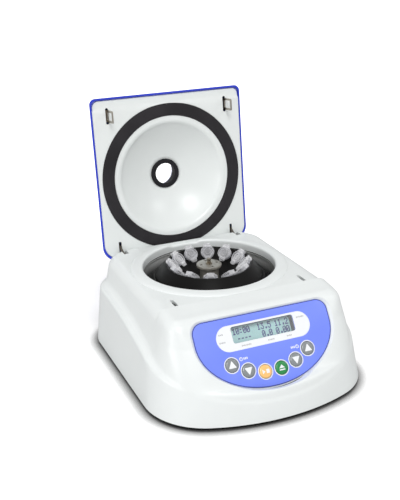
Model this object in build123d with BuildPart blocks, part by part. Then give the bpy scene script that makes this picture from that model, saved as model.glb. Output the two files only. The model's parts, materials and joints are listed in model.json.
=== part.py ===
from build123d import *

import os
from math import atan2, cos, degrees, radians, sin, sqrt, tan

os.makedirs("parts", exist_ok=True)

# X to the right, Y towards the back, Z up, with the floor at zero. Sizes are millimetres.
# The lid stands open, as in normal loading. Pieces are drawn about the middle of the body, and saved
# about the middle of the open machine's length.

# Body
body_width = 200.0
body_front = -121.0
body_rear = 119.0
base_z = 3.5
deck_z = 82.0
console_rise = 2.5
front_bow = 180.0
front_corner = 57.0
rear_corner = 45.0
side_lean = 14.0
rear_lean = 5.8
shoulder_round = 8.0
wall = 3.0
front_wall = 5.0

# Flared skirt along the sides
skirt_height = 56.5
skirt_lean = 6.7
skirt_proud = 0.3
skirt_rear_gap = 1.2
skirt_front_inset = 0.6

# Console face and its sunk control panel
step_y = -43.5
console_slope = 8.0
panel_tilt = 56.6
panel_y = -84.7
panel_z = 55.7
panel_sink = 2.0
apron_y = -108.0
apron_slope = 20.0
crown_round = 16.0
apron_round = 8.0

# Control overlay, in the panel's own x and slope directions
overlay_half = 63.0
overlay_top = 26.5
overlay_middle = 8.0
overlay_drop = 45.0
overlay_corner = 10.0
overlay_thick = 0.8
overlay_gap = 0.3
bevel_angle = 45.0
lcd_width = 58.0
lcd_height = 14.0
lcd_rise = 11.0
lcd_corner = 2.0
lcd_sink = 0.4
lcd_gap = 0.2
lcd_frame = 1.0
lcd_thick = 3.6
lcd_pane = 1.2
key_radius = 5.7
key_gap = 0.3
key_proud = 0.8
key_round = 0.6
key_travel = 0.6
key_play = 0.15
key_flange = 7.0
key_flange_thick = 0.8
key_spots = {
    "time_up": (-35.3, -12.8),
    "time_down": (-22.1, -19.9),
    "run_stop": (-7.5, -23.7),
    "open": (7.5, -23.7),
    "speed_down": (22.1, -19.9),
    "speed_up": (35.3, -12.8),
}
board_gap = 8.6
board_thick = 1.6
board_margin = 6.0
switch_size = 6.0
switch_height = 1.2
button_radius = 1.7
spacer_radius = 2.5
spacer_wide = 50.0
spacer_high = 14.0
spacer_narrow = 47.5
spacer_low = -8.0

# Rotor well and chamber
axis_y = 33.5
well_radius = 62.4
lip_width = 11.6
lip_rise = 2.0
lip_flat = 105.5
lip_round = 1.6
lip_inner = 6.1
collar_depth = 8.0
collar_thick = 3.6
seal_thick = 1.0
chamber_undercut = 2.6
chamber_wall = 1.5
chamber_floor = 47.0
chamber_corner = 6.0
chamber_bore = 11.0
flange_reach = 1.2
flange_step = 0.6

# Rotor and tubes
tube_angle = 45.0
tube_count = 12
tube_phase = 8.7
tube_ring = 31.5
tube_z = 83.5
tube_length = 37.0
tube_radius = 5.4
tube_tip = 1.8
tube_cone = 16.0
collar_radius = 6.4
cap_radius = 6.6
cap_thick = 2.2
tube_wall = 0.9
tube_gap = 0.15
rotor_bottom = 50.0
rotor_clear = 1.9
dish_floor = 64.0
dish_radius = 19.0
rim_z = 85.0
rim_radius = 41.0
rotor_waist = 6.0
rotor_hollow = 36.0
rotor_hollow_z = 58.0
rotor_hub_radius = 12.0
hub_radius = 12.0
hub_thick = 2.6
hub_z = 83.2
hub_post = 9.5
hub_hole = 1.3
hub_hole_ring = 8.0
hub_round = 1.0
nut_radius = 3.2
nut_height = 5.2

# Motor and its carrier
shaft_radius = 4.0
fit_gap = 0.05
motor_radius = 29.0
motor_wall = 2.0
motor_end = 3.0
core_radius = 13.0
motor_top = 40.5
motor_height = 30.0
air_gap = 1.0
seat_wall = 2.5
bearing_radius = 8.0
bearing_height = 5.0
shaft_bottom = 9.5
carrier_thick = 2.5
carrier_size = 124.0
mount_spacing = 100.0
mount_radius = 8.0
mount_height = 18.0
post_radius = 6.0
motor_bolt_circle = 44.0
screw_radius = 2.0
screw_head = 3.4
screw_head_height = 2.0
screw_length = 14.0
lid_screw_head = 2.2
lid_screw_height = 1.6

# Main board
main_width = 110.0
main_depth = 60.0
main_y = -60.0
standoff_height = 6.0
standoff_radius = 3.0
transformer_width = 34.0
transformer_depth = 30.0
transformer_height = 24.0
capacitor_radius = 5.0
capacitor_height = 16.0

# Bottom plate and feet
plate_thick = 2.5
plate_z = 4.0
plate_gap = 0.4
foot_radius = 8.0
foot_x = 74.0
foot_front = -72.0
foot_rear = 84.0
boss_inset = 20.0
boss_front = -46.0
boss_rear = 60.0
boss_radius = 4.5
boss_top = 62.0
boss_bore = 1.6

# Lid, drawn shut and then turned open about its hinge
hinge_y = 105.0
hinge_drop = 6.0
hinge_x = 61.0
lid_open_angle = 96.0
lid_half = 79.0
lid_front = -50.5
lid_rear = 111.0
lid_front_corner = 9.0
lid_rear_corner = 16.0
lid_rise = 3.0
lid_height = 40.0
lid_lean = 16.0
lid_wall = 2.5
lid_arch = 210.0
lid_edge_round = 8.0
liner_gap = 0.3
liner_thick = 2.5
gasket_overlap = 1.6
gasket_inset = 1.0
gasket_thick = 3.4
gasket_proud = 0.7
gasket_edge = 0.5
dome_rim = 6.1
dome_depth = 22.5
grommet_radius = 15.0
grommet_bore = 10.0
grommet_neck = 12.5
grommet_lip = 2.0
grommet_gap = 0.6
window_radius = 11.4
sight_window_thick = 2.0
sight_hole = 10.5

# Hinge parts
arm_thick = 2.0
arm_boss = 4.0
pin_radius = 2.0
hinge_slot = 5.0
hinge_slot_front = 95.0
hinge_slot_drop = 6.0
arm_toe = 82.0
arm_front = 93.0
arm_height = 6.5
arm_back = 98.0
foot_flange = 7.0
foot_flange_thick = 2.0
liner_slot_gap = 0.5
arm_slot_middle = 98.4
arm_slot_length = 12.0
shaft_end = 63.0
bracket_thick = 2.0
bracket_x = 56.0
bracket_pitch = 9.0
bracket_depth = 8.0
bracket_drop = 9.0
bracket_shift = 1.5

# Strikers and latch
striker_x = 61.7
striker_y = -32.8
striker_length = 11.6
striker_thick = 2.0
striker_reach = 15.0
striker_root = 6.5
striker_window = 7.6
striker_bar = 2.4
deck_slot_gap = 0.7
latch_y = -48.0
latch_drop = 7.0
latch_bar_depth = 5.0
latch_bar_height = 4.0
latch_pin = 1.8
latch_travel = 5.0
latch_tip_gap = 0.5
latch_finger = 4.0
latch_finger_end = -31.0
pin_y = -33.0
guide_x = 36.0
guide_wall = 2.5
guide_gap = 0.3
guide_length = 8.0
tab_thick = 3.0
solenoid_length = 30.0
solenoid_size = 15.0
solenoid_drop = 14.0
solenoid_y = -46.0
plunger_radius = 3.5
plunger_reach = 12.0
plunger_depth = 20.0
switch_box = (6.0, 13.0, 6.0)
switch_x = 70.0

# Rear fittings
socket_x = -46.0
rocker_x = -24.0
rear_fitting_z = 26.0
socket_radius = 5.6
socket_gap = 0.2
socket_block = 12.0
socket_depth = 10.0
socket_bore = 3.2
socket_bore_depth = 9.0
socket_pin = 1.0
rocker_width = 12.6
rocker_height = 18.6
rocker_bezel = 1.6
rocker_frame = 1.6
rocker_depth = 14.0
rocker_gap = 0.3
rocker_wall = 1.8
rocker_tilt = 6.0
rocker_pivot = 3.0
rocker_half = 6.9
rocker_hollow = 8.0
rocker_pin = 0.9
rocker_pin_seat = 1.0
vent_count = 8
vent_pitch = 5.0
vent_width = 2.4
vent_height = 20.0
vent_z = 30.0
vent_x = 32.0

console_z = deck_z + console_rise
half_width = body_width / 2
boss_x = half_width - boss_inset
lip_radius = well_radius + lip_width
lip_crest = well_radius + lip_inner
chamber_radius = well_radius + chamber_undercut
flange_inner = well_radius + flange_step
rotor_radius = well_radius - rotor_clear
gasket_inner = well_radius - gasket_overlap
gasket_outer = lip_radius - gasket_inset
dome_edge = gasket_inner - dome_rim
hinge_z = deck_z - hinge_drop
hinge_slot_floor = hinge_z - hinge_slot_drop
latch_z = deck_z - latch_drop
solenoid_z = latch_z - solenoid_drop
lid_z = deck_z + lid_rise
gasket_face = lid_z - gasket_proud
lid_top = lid_z + lid_height
lid_middle = (lid_front + lid_rear) / 2
sphere_z = lid_top - lid_arch
sphere_back = (lid_middle - hinge_y) * cos(radians(lid_open_angle))
sphere_out = (sphere_z - hinge_z) * sin(radians(lid_open_angle))
open_rear = hinge_y + sphere_back + sphere_out + lid_arch
frame_y = (body_front + open_rear) / 2
lid_place = Pos(0, hinge_y, hinge_z) * Rot(-lid_open_angle, 0, 0) * Pos(0, -hinge_y, -hinge_z)
spin_plane = Plane(origin=(0, axis_y, 0), x_dir=(1, 0, 0), z_dir=(0, -1, 0))
spin_axis = Axis((0, axis_y, 0), (0, 0, 1))
panel_plane = Plane(
    origin=(0, panel_y, panel_z),
    x_dir=(1, 0, 0),
    z_dir=(0, -sin(radians(panel_tilt)), cos(radians(panel_tilt))),
)
rear_slope = tan(radians(rear_lean)) - skirt_rear_gap / skirt_height
rear_plane = Plane(
    origin=(0, body_rear - (rear_fitting_z - base_z) * rear_slope, rear_fitting_z),
    x_dir=(-1, 0, 0),
    z_dir=(0, 1, rear_slope),
)


def save(piece, label, place=Pos(0, 0, 0)):
    """Label a finished piece and write it in its place about the middle of the open machine."""
    solid = Pos(0, -frame_y, 0) * place * piece.part
    solid.label = label
    export_step(solid, f"parts/{label}.step")


# Body outline: straight sides and rear, a bowed front, round corners
def body_outline(half, front, rear, bow, corner, back_corner):
    corner_x = half - corner
    corner_y = front + bow - sqrt((bow - corner) ** 2 - corner_x**2)
    meet = degrees(atan2(corner_y - front - bow, corner_x))
    with BuildLine() as outline:
        CenterArc((half - back_corner, rear - back_corner), back_corner, 0, 90)
        Line((half - back_corner, rear), (-half + back_corner, rear))
        CenterArc((-half + back_corner, rear - back_corner), back_corner, 90, 90)
        Line((-half, rear - back_corner), (-half, corner_y))
        CenterArc((-corner_x, corner_y), corner, 180, -meet)
        CenterArc((0, front + bow), bow, 180 - meet, 180 + 2 * meet)
        CenterArc((corner_x, corner_y), corner, meet, -meet)
        Line((half, corner_y), (half, rear - back_corner))
    return outline.line.edges()


# Where two straight lines of the front profile cross, each given by a point and an angle
def crossing(first, first_angle, second, second_angle):
    ax, ay = cos(radians(first_angle)), sin(radians(first_angle))
    bx, by = cos(radians(second_angle)), sin(radians(second_angle))
    reach = ((second[0] - first[0]) * by - (second[1] - first[1]) * bx) / (ax * by - ay * bx)
    return (first[0] + reach * ax, first[1] + reach * ay)


# Everything in front of and above the console face, moved inwards by a wall
def front_cut(inset):
    sink_y = -sin(radians(panel_tilt)) * (panel_sink - inset)
    sink_z = cos(radians(panel_tilt)) * (panel_sink - inset)
    face = (panel_y + sink_y, panel_z + sink_z)
    crest = (step_y, console_z - inset / cos(radians(console_slope)))
    apron_z = panel_z + (apron_y - panel_y) * tan(radians(panel_tilt)) + panel_sink / cos(radians(panel_tilt))
    apron_point = (apron_y, apron_z - inset / cos(radians(apron_slope)))
    bend = crossing(crest, console_slope, face, panel_tilt)
    foot = crossing(apron_point, apron_slope, face, panel_tilt)
    end = (body_front - 30, foot[1] - (foot[0] - body_front + 30) * tan(radians(apron_slope)))
    reach = 40.0
    start = (step_y + reach, crest[1] + reach * tan(radians(console_slope)))
    with BuildPart() as cut:
        with BuildSketch(Plane.YZ):
            with BuildLine():
                above = deck_z + reach
                Polyline(start, bend, foot, end, (end[0], above), (start[0], above), close=True)
            make_face()
            fillet(vertices().sort_by_distance(bend)[0], crown_round)
            fillet(vertices().sort_by_distance(foot)[0], apron_round)
        extrude(amount=body_width, both=True)
    return cut.part


# One tier of the body, from the base outline up to a flat top with a rounded shoulder
def tier(top_z, inset, bottom_z):
    rise = top_z - base_z
    lean = tan(radians(side_lean))
    back = tan(radians(rear_lean))
    with BuildPart() as form:
        for level in (bottom_z, top_z):
            up = level - base_z
            with BuildSketch(Plane.XY.offset(level)):
                make_face(
                    body_outline(
                        half_width - inset - up * lean,
                        body_front + inset + up * lean,
                        body_rear - inset - up * back,
                        front_bow - inset - up * lean,
                        front_corner - inset - up * lean,
                        rear_corner - inset - up * lean,
                    )
                )
        loft(ruled=True)
        fillet(form.faces().sort_by(Axis.Z)[-1].edges(), shoulder_round - inset)
    return form.part


# The skirt's side flare, cut off along a line that falls towards the front
def skirt_form(inset, bottom_z):
    top = base_z + skirt_height
    with BuildPart() as form:
        for level in (bottom_z, top):
            up = level - base_z
            side = up * tan(radians(skirt_lean))
            slope = up * tan(radians(side_lean))
            with BuildSketch(Plane.XY.offset(level)):
                make_face(
                    body_outline(
                        half_width + skirt_proud - inset - side,
                        body_front + skirt_front_inset + inset + slope,
                        body_rear - inset - up * tan(radians(rear_lean)) + skirt_rear_gap * up / skirt_height,
                        front_bow - inset - slope,
                        front_corner - inset - side,
                        rear_corner - inset - side,
                    )
                )
        loft(ruled=True)
        with BuildSketch(Plane.YZ):
            with BuildLine():
                crest = Spline(
                    (body_rear + 12, 57 - inset),
                    (60, 58 - inset),
                    (8, 55 - inset),
                    (-30, 48 - inset),
                    (-75, 39.5 - inset),
                    (body_front - 6, 26 - inset),
                )
                Polyline(crest @ 1, (body_front - 6, top + 20), (body_rear + 12, top + 20), crest @ 0)
            make_face()
        extrude(amount=body_width, both=True, mode=Mode.SUBTRACT)
    return form.part


def body_form(inset, front_inset, bottom_z):
    console = tier(console_z - inset, inset, bottom_z)
    deck = tier(deck_z - inset, inset, bottom_z)
    with BuildPart() as form:
        add(console)
        with BuildSketch(Plane.XY.offset(bottom_z - 1)):
            with Locations((0, step_y + inset + body_width)):
                Rectangle(2 * body_width, 2 * body_width)
        extrude(amount=2 * deck_z, mode=Mode.SUBTRACT)
        add(deck)
        add(front_cut(front_inset), mode=Mode.SUBTRACT)
        add(skirt_form(inset, bottom_z))
    return form.part


# A straight-sided plan outline with two front and two rear corner rounds
def lid_outline(inset, front_round, rear_round):
    half = lid_half - inset
    front = lid_front + inset
    rear = lid_rear - inset
    with BuildLine() as outline:
        CenterArc((half - rear_round, rear - rear_round), rear_round, 0, 90)
        Line((half - rear_round, rear), (-half + rear_round, rear))
        CenterArc((-half + rear_round, rear - rear_round), rear_round, 90, 90)
        Line((-half, rear - rear_round), (-half, front + front_round))
        CenterArc((-half + front_round, front + front_round), front_round, 180, 90)
        Line((-half + front_round, front), (half - front_round, front))
        CenterArc((half - front_round, front + front_round), front_round, 270, 90)
        Line((half, front + front_round), (half, rear - rear_round))
    return outline.line.edges()


# Outline of the control overlay: round top corners, sides running into a half ellipse
def overlay_outline(grow):
    half = overlay_half + grow
    top = overlay_top + grow
    drop = overlay_drop + grow
    corner = overlay_corner + grow
    with BuildLine() as outline:
        Line((-half + corner, top), (half - corner, top))
        CenterArc((half - corner, top - corner), corner, 0, 90)
        Line((half, top - corner), (half, overlay_middle))
        EllipticalCenterArc((0, overlay_middle), half, drop, start_angle=180, arc_size=180)
        Line((-half, overlay_middle), (-half, top - corner))
        CenterArc((-half + corner, top - corner), corner, 90, 90)
    return outline.line.edges()


lip_top = deck_z + lip_rise
collar_z = lip_top - collar_depth
collar_radius_outer = well_radius + collar_thick
boss_spots = [(x, y) for x in (-boss_x, boss_x) for y in (boss_front, boss_rear)]
foot_spots = [(x, y) for x in (-foot_x, foot_x) for y in (foot_front, foot_rear)]
spacer_pair = ((spacer_wide, spacer_high), (spacer_narrow, spacer_low))
spacer_spots = [(side * x, y) for side in (-1, 1) for x, y in spacer_pair]
vent_first = -vent_x - (vent_count - 1) / 2 * vent_pitch
vent_spots = [(vent_first + i * vent_pitch, vent_z - rear_fitting_z) for i in range(vent_count)]

# Housing: the white top casing
outer = body_form(0, 0, base_z)
cavity = body_form(wall, front_wall, base_z - 2)
with BuildPart() as lip:
    with BuildSketch(spin_plane):
        with BuildLine():
            Polyline(
                (lip_radius, deck_z),
                (lip_radius, deck_z - wall / 2),
                (collar_radius_outer, deck_z - wall / 2),
                (collar_radius_outer, collar_z),
                (well_radius, collar_z),
                (well_radius, lip_top - lip_round),
            )
            RadiusArc((well_radius, lip_top - lip_round), (well_radius + lip_round, lip_top), lip_round)
            Line((well_radius + lip_round, lip_top), (lip_crest, lip_top))
            Spline((lip_crest, lip_top), (lip_radius, deck_z), tangents=[(1, 0), (1, -0.4)])
        make_face()
    revolve(axis=spin_axis)
    with Locations((0, lip_flat + lip_radius, lip_top)):
        Box(4 * lip_radius, 2 * lip_radius, 2 * collar_depth + 2 * lip_rise, mode=Mode.SUBTRACT)
with BuildPart() as housing_shell:
    add(outer)
    add(cavity, mode=Mode.SUBTRACT)
    with BuildSketch(Plane.XY.offset(plate_z + plate_thick)):
        with Locations(*boss_spots):
            Circle(boss_radius)
            Circle(boss_bore, mode=Mode.SUBTRACT)
    extrude(amount=boss_top - plate_z - plate_thick)
    with BuildSketch(Plane.XY.offset(collar_z - 1)):
        with Locations((0, axis_y)):
            Circle(well_radius)
    extrude(amount=2 * collar_depth, mode=Mode.SUBTRACT)
    add(lip.part)
    # slots for the strikers and the hinge arms
    with BuildSketch(Plane.XY.offset(lip_top + 2)):
        with Locations((-striker_x, striker_y), (striker_x, striker_y)):
            SlotOverall(
                striker_length + 2 * deck_slot_gap + 1,
                striker_thick + 2 * deck_slot_gap,
                rotation=90,
            )
    extrude(amount=-lip_rise - 2 - 2 * wall, mode=Mode.SUBTRACT)
    with BuildSketch(Plane.XY.offset(hinge_slot_floor)):
        with Locations((-hinge_x, hinge_slot_front), (hinge_x, hinge_slot_front)):
            Rectangle(hinge_slot, body_rear, align=(Align.CENTER, Align.MIN))
    extrude(amount=body_rear, mode=Mode.SUBTRACT)
    # sunk panel with a bevel all round, then the openings through its floor
    with BuildSketch(panel_plane):
        make_face(overlay_outline(overlay_gap))
    with BuildSketch(panel_plane.offset(2 * panel_sink)):
        make_face(overlay_outline(overlay_gap + 2 * panel_sink / tan(radians(bevel_angle))))
    loft(ruled=True, mode=Mode.SUBTRACT)
    with BuildSketch(panel_plane):
        make_face(overlay_outline(overlay_gap))
    extrude(amount=-overlay_thick, mode=Mode.SUBTRACT)
    with BuildSketch(panel_plane):
        with Locations((0, lcd_rise)):
            RectangleRounded(lcd_width, lcd_height, lcd_corner)
        with Locations(*key_spots.values()):
            Circle(key_radius + key_gap)
    extrude(amount=-2 * front_wall, mode=Mode.SUBTRACT)
    # power socket, power switch and vents in the rear wall
    with BuildSketch(rear_plane.offset(wall)):
        with Locations((-socket_x, 0)):
            Circle(socket_radius)
        with Locations((-rocker_x, 0)):
            Rectangle(rocker_width, rocker_height)
        with Locations(*vent_spots):
            SlotOverall(vent_height, vent_width, rotation=90)
    extrude(amount=-4 * wall, mode=Mode.SUBTRACT)
save(housing_shell, "housing_shell")

# Chamber: the dark bowl under the well, sealed against the collar
seal_z = collar_z - seal_thick
chamber_outer = chamber_radius + chamber_wall
chamber_bottom = chamber_floor - chamber_wall
with BuildPart() as rotor_chamber:
    with BuildSketch(spin_plane):
        with BuildLine():
            Polyline(
                (chamber_bore, chamber_floor + 3),
                (chamber_bore, chamber_bottom),
                (chamber_outer, chamber_bottom),
                (chamber_outer, seal_z - chamber_wall),
                (chamber_outer + flange_reach, seal_z - chamber_wall),
                (chamber_outer + flange_reach, seal_z),
                (flange_inner, seal_z),
                (flange_inner, seal_z - chamber_wall),
                (chamber_radius, seal_z - chamber_wall),
                (chamber_radius, chamber_floor),
                (chamber_bore + chamber_wall, chamber_floor),
                (chamber_bore + chamber_wall, chamber_floor + 3),
                close=True,
            )
        make_face()
        fillet(vertices().sort_by_distance((chamber_radius, chamber_floor))[0], chamber_corner)
        fillet(vertices().sort_by_distance((chamber_outer, chamber_bottom))[0], chamber_corner + chamber_wall)
    revolve(axis=spin_axis)
save(rotor_chamber, "rotor_chamber")

with BuildPart() as chamber_seal:
    with BuildSketch(Plane.XY.offset(seal_z)):
        with Locations((0, axis_y)):
            Circle(collar_radius_outer)
            Circle(flange_inner, mode=Mode.SUBTRACT)
    extrude(amount=seal_thick)
save(chamber_seal, "chamber_seal")

# Tubes lean outwards in a ring, drawn upright about their own line and then placed
ring_places = [
    Pos(0, axis_y, 0) * Rot(0, 0, turn) * Pos(tube_ring, 0, tube_z) * Rot(0, -tube_angle, 0)
    for turn in (tube_phase + i * 360 / tube_count for i in range(tube_count))
]
with BuildPart() as tube_form:
    with BuildSketch(Plane.XZ):
        with BuildLine():
            Polyline(
                (0, -cap_thick),
                (collar_radius, -cap_thick),
                (collar_radius, -2 * cap_thick),
                (tube_radius, -2 * cap_thick),
                (tube_radius, tube_cone - tube_length),
                (tube_tip, -tube_length),
                (0, -tube_length),
                close=True,
            )
        make_face()
    revolve(axis=Axis.Z)
with BuildPart() as tube_bore:
    with BuildSketch(Plane.XZ):
        with BuildLine():
            Polyline(
                (0, cap_radius),
                (tube_radius + tube_gap, cap_radius),
                (tube_radius + tube_gap, tube_cone - tube_length),
                (tube_tip + tube_gap, -tube_length - tube_gap),
                (0, -tube_length - tube_gap),
                close=True,
            )
        make_face()
    revolve(axis=Axis.Z)
with BuildPart() as tube_hollow:
    with BuildSketch(Plane.XZ):
        with BuildLine():
            Polyline(
                (0, 0),
                (tube_radius - tube_wall, 0),
                (tube_radius - tube_wall, tube_cone - tube_length),
                (tube_tip - tube_wall / 2, tube_wall - tube_length),
                (0, tube_wall - tube_length),
                close=True,
            )
        make_face()
    revolve(axis=Axis.Z)

with BuildPart() as microtubes:
    for place in ring_places:
        add(place * tube_form.part)
    for place in ring_places:
        add(place * tube_hollow.part, mode=Mode.SUBTRACT)
save(microtubes, "microtubes")

with BuildPart() as cap_form:
    with BuildSketch(Plane.XY):
        Circle(cap_radius)
        with Locations((-cap_radius, 0)):
            RectangleRounded(cap_thick * 2, cap_radius, cap_thick / 2)
    extrude(amount=-cap_thick)
    with BuildSketch(Plane.XY.offset(-cap_thick)):
        Circle(tube_radius - tube_wall - tube_gap)
    extrude(amount=-cap_thick)
with BuildPart() as tube_caps:
    for place in ring_places:
        add(place * cap_form.part)
save(tube_caps, "tube_caps")

# Rotor, turning with the motor's shaft
bore_radius = shaft_radius + fit_gap
rotor_shoulder = rotor_bottom + rotor_waist
outer_line = rim_z + rim_radius
face_line = dish_floor - dish_radius
with BuildPart() as rotor_body:
    with BuildSketch(spin_plane):
        with BuildLine():
            Polyline(
                (bore_radius, rotor_bottom),
                (rotor_hub_radius, rotor_bottom),
                (rotor_hub_radius, rotor_hollow_z),
                (rotor_hollow, rotor_hollow_z),
                (rotor_hollow, rotor_bottom),
                (rotor_radius - rotor_waist, rotor_bottom),
                (rotor_radius, rotor_shoulder),
                (rotor_radius, outer_line - rotor_radius),
                (rim_radius, rim_z),
                (rim_z - face_line, rim_z),
                (dish_radius, dish_floor),
                (bore_radius, dish_floor),
                close=True,
            )
        make_face()
    revolve(axis=spin_axis)
    for place in ring_places:
        add(place * tube_bore.part, mode=Mode.SUBTRACT)
save(rotor_body, "rotor_body")

with BuildPart() as rotor_hub:
    with BuildSketch(spin_plane):
        with BuildLine():
            Polyline(
                (bore_radius, dish_floor),
                (hub_post, dish_floor),
                (hub_post, hub_z - hub_thick),
                (hub_radius, hub_z - hub_thick),
                (hub_radius, hub_z),
                (0, hub_z),
                (0, hub_z - hub_thick),
                (bore_radius, hub_z - hub_thick),
                close=True,
            )
        make_face()
        fillet(vertices().sort_by_distance((hub_radius, hub_z))[0], hub_round)
    revolve(axis=spin_axis)
    with BuildSketch(Plane.XY.offset(hub_z)):
        with Locations((0, axis_y)):
            with PolarLocations(hub_hole_ring, 4):
                Circle(hub_hole)
    extrude(amount=-hub_thick, mode=Mode.SUBTRACT)
save(rotor_hub, "rotor_hub")

with BuildPart() as rotor_nut:
    with BuildSketch(Plane.XY.offset(hub_z)):
        with Locations((0, axis_y)):
            RegularPolygon(nut_radius, 6)
    extrude(amount=nut_height)
save(rotor_nut, "rotor_nut")

# Motor, hung under its carrier plate
motor_bottom = motor_top - motor_height
seat_radius = bearing_radius + fit_gap
with BuildPart() as motor_shaft:
    with BuildSketch(Plane.XY.offset(shaft_bottom)):
        with Locations((0, axis_y)):
            Circle(shaft_radius)
    extrude(amount=hub_z - hub_thick - shaft_bottom)
save(motor_shaft, "motor_shaft")

with BuildPart() as motor_body:
    with BuildSketch(spin_plane):
        with BuildLine():
            Polyline(
                (seat_radius, motor_bottom),
                (motor_radius, motor_bottom),
                (motor_radius, motor_top),
                (seat_radius, motor_top),
                (seat_radius, motor_top - bearing_height),
                (seat_radius + seat_wall, motor_top - bearing_height),
                (seat_radius + seat_wall, motor_top - motor_end),
                (motor_radius - motor_wall, motor_top - motor_end),
                (motor_radius - motor_wall, motor_bottom + motor_end),
                (seat_radius + seat_wall, motor_bottom + motor_end),
                (seat_radius + seat_wall, motor_bottom + bearing_height),
                (seat_radius, motor_bottom + bearing_height),
                close=True,
            )
        make_face()
    revolve(axis=spin_axis)
save(motor_body, "motor_body")

with BuildPart() as motor_bearings:
    for level in (motor_bottom, motor_top - bearing_height):
        with BuildSketch(Plane.XY.offset(level)):
            with Locations((0, axis_y)):
                Circle(bearing_radius)
                Circle(bore_radius, mode=Mode.SUBTRACT)
        extrude(amount=bearing_height)
save(motor_bearings, "motor_bearings")

winding_bottom = motor_bottom + bearing_height + seat_wall
winding_height = motor_height - 2 * bearing_height - 2 * seat_wall
with BuildPart() as motor_windings:
    with BuildSketch(Plane.XY.offset(winding_bottom)):
        with Locations((0, axis_y)):
            Circle(motor_radius - motor_wall - fit_gap)
            Circle(core_radius + air_gap, mode=Mode.SUBTRACT)
    extrude(amount=winding_height)
save(motor_windings, "motor_windings")

with BuildPart() as motor_core:
    with BuildSketch(Plane.XY.offset(winding_bottom)):
        with Locations((0, axis_y)):
            Circle(core_radius)
            Circle(bore_radius, mode=Mode.SUBTRACT)
    extrude(amount=winding_height)
save(motor_core, "motor_core")

mount_spots = [(x * mount_spacing / 2, axis_y + y * mount_spacing / 2) for x in (-1, 1) for y in (-1, 1)]
with BuildPart() as motor_plate:
    with BuildSketch(Plane.XY.offset(motor_top)):
        with Locations((0, axis_y)):
            RectangleRounded(carrier_size, carrier_size, 2 * mount_radius)
            Circle(chamber_bore, mode=Mode.SUBTRACT)
            with PolarLocations(motor_bolt_circle / 2, 4):
                Circle(screw_radius + tube_gap, mode=Mode.SUBTRACT)
    extrude(amount=carrier_thick)
save(motor_plate, "motor_plate")

with BuildPart() as motor_screws:
    with BuildSketch(Plane.XY.offset(motor_top + carrier_thick)):
        with Locations((0, axis_y)):
            with PolarLocations(motor_bolt_circle / 2, 4):
                Circle(screw_head)
    extrude(amount=screw_head_height)
    with BuildSketch(Plane.XY.offset(motor_top)):
        with Locations((0, axis_y)):
            with PolarLocations(motor_bolt_circle / 2, 4):
                Circle(screw_radius)
    extrude(amount=carrier_thick)
save(motor_screws, "motor_screws")

plate_top = plate_z + plate_thick
mount_bottom = motor_top - mount_height
with BuildPart() as vibration_mounts:
    with BuildSketch(Plane.XY.offset(mount_bottom)):
        with Locations(*mount_spots):
            Circle(mount_radius)
    extrude(amount=mount_height)
save(vibration_mounts, "vibration_mounts")

with BuildPart() as mount_posts:
    with BuildSketch(Plane.XY.offset(plate_top)):
        with Locations(*mount_spots):
            Circle(post_radius)
    extrude(amount=mount_bottom - plate_top)
save(mount_posts, "mount_posts")

# Bottom plate, feet and the screws into the housing
plate_inset = wall + plate_gap + (plate_top - base_z) * tan(radians(side_lean))
with BuildPart() as bottom_plate:
    with BuildSketch(Plane.XY.offset(plate_z)):
        make_face(
            body_outline(
                half_width - plate_inset,
                body_front + plate_inset,
                body_rear - plate_inset,
                front_bow - plate_inset,
                front_corner - plate_inset,
                rear_corner - plate_inset,
            )
        )
        with Locations(*boss_spots):
            Circle(boss_bore + tube_gap, mode=Mode.SUBTRACT)
    extrude(amount=plate_thick)
save(bottom_plate, "bottom_plate")

with BuildPart() as rubber_feet:
    with BuildSketch(Plane.XY):
        with Locations(*foot_spots):
            Circle(foot_radius)
    extrude(amount=plate_z)
    fillet(rubber_feet.edges().group_by(Axis.Z)[0], foot_radius / 8)
save(rubber_feet, "rubber_feet")

with BuildPart() as base_screws:
    with BuildSketch(Plane.XY.offset(plate_z - screw_head_height)):
        with Locations(*boss_spots):
            Circle(screw_head)
    extrude(amount=screw_head_height)
    with BuildSketch(Plane.XY.offset(plate_z)):
        with Locations(*boss_spots):
            Circle(boss_bore - fit_gap)
    extrude(amount=screw_length)
save(base_screws, "base_screws")

# Control panel: overlay, display, board, keys and their switches
with BuildPart() as control_overlay:
    with BuildSketch(panel_plane.offset(-overlay_thick)):
        make_face(overlay_outline(0))
        with Locations((0, lcd_rise)):
            RectangleRounded(lcd_width, lcd_height, lcd_corner, mode=Mode.SUBTRACT)
        with Locations(*key_spots.values()):
            Circle(key_radius + key_gap, mode=Mode.SUBTRACT)
    extrude(amount=overlay_thick)
save(control_overlay, "control_overlay")

wall_back = front_wall - panel_sink
with BuildPart() as lcd_window:
    with BuildSketch(panel_plane.offset(-lcd_sink)):
        with Locations((0, lcd_rise)):
            RectangleRounded(lcd_width - 2 * lcd_gap, lcd_height - 2 * lcd_gap, lcd_corner - lcd_gap)
    extrude(amount=-lcd_pane)
save(lcd_window, "lcd_window")

# A dark frame between the wall and the display keeps stray light off it
with BuildPart() as lcd_bezel:
    with BuildSketch(panel_plane.offset(-wall_back)):
        with Locations((0, lcd_rise)):
            Rectangle(lcd_width + 2 * lcd_frame, lcd_height + 2 * lcd_frame)
            RectangleRounded(lcd_width, lcd_height, lcd_corner, mode=Mode.SUBTRACT)
    extrude(amount=lcd_thick - board_gap)
save(lcd_bezel, "lcd_bezel")

with BuildPart() as lcd_module:
    with BuildSketch(panel_plane.offset(-wall_back - board_gap)):
        with Locations((0, lcd_rise)):
            Rectangle(lcd_width + 2 * lcd_frame, lcd_height + 2 * lcd_frame)
    extrude(amount=lcd_thick)
save(lcd_module, "lcd_module")

with BuildPart() as control_board:
    with BuildSketch(panel_plane.offset(-wall_back - board_gap - board_thick)):
        make_face(overlay_outline(-board_margin))
    extrude(amount=board_thick)
save(control_board, "control_board")

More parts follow.
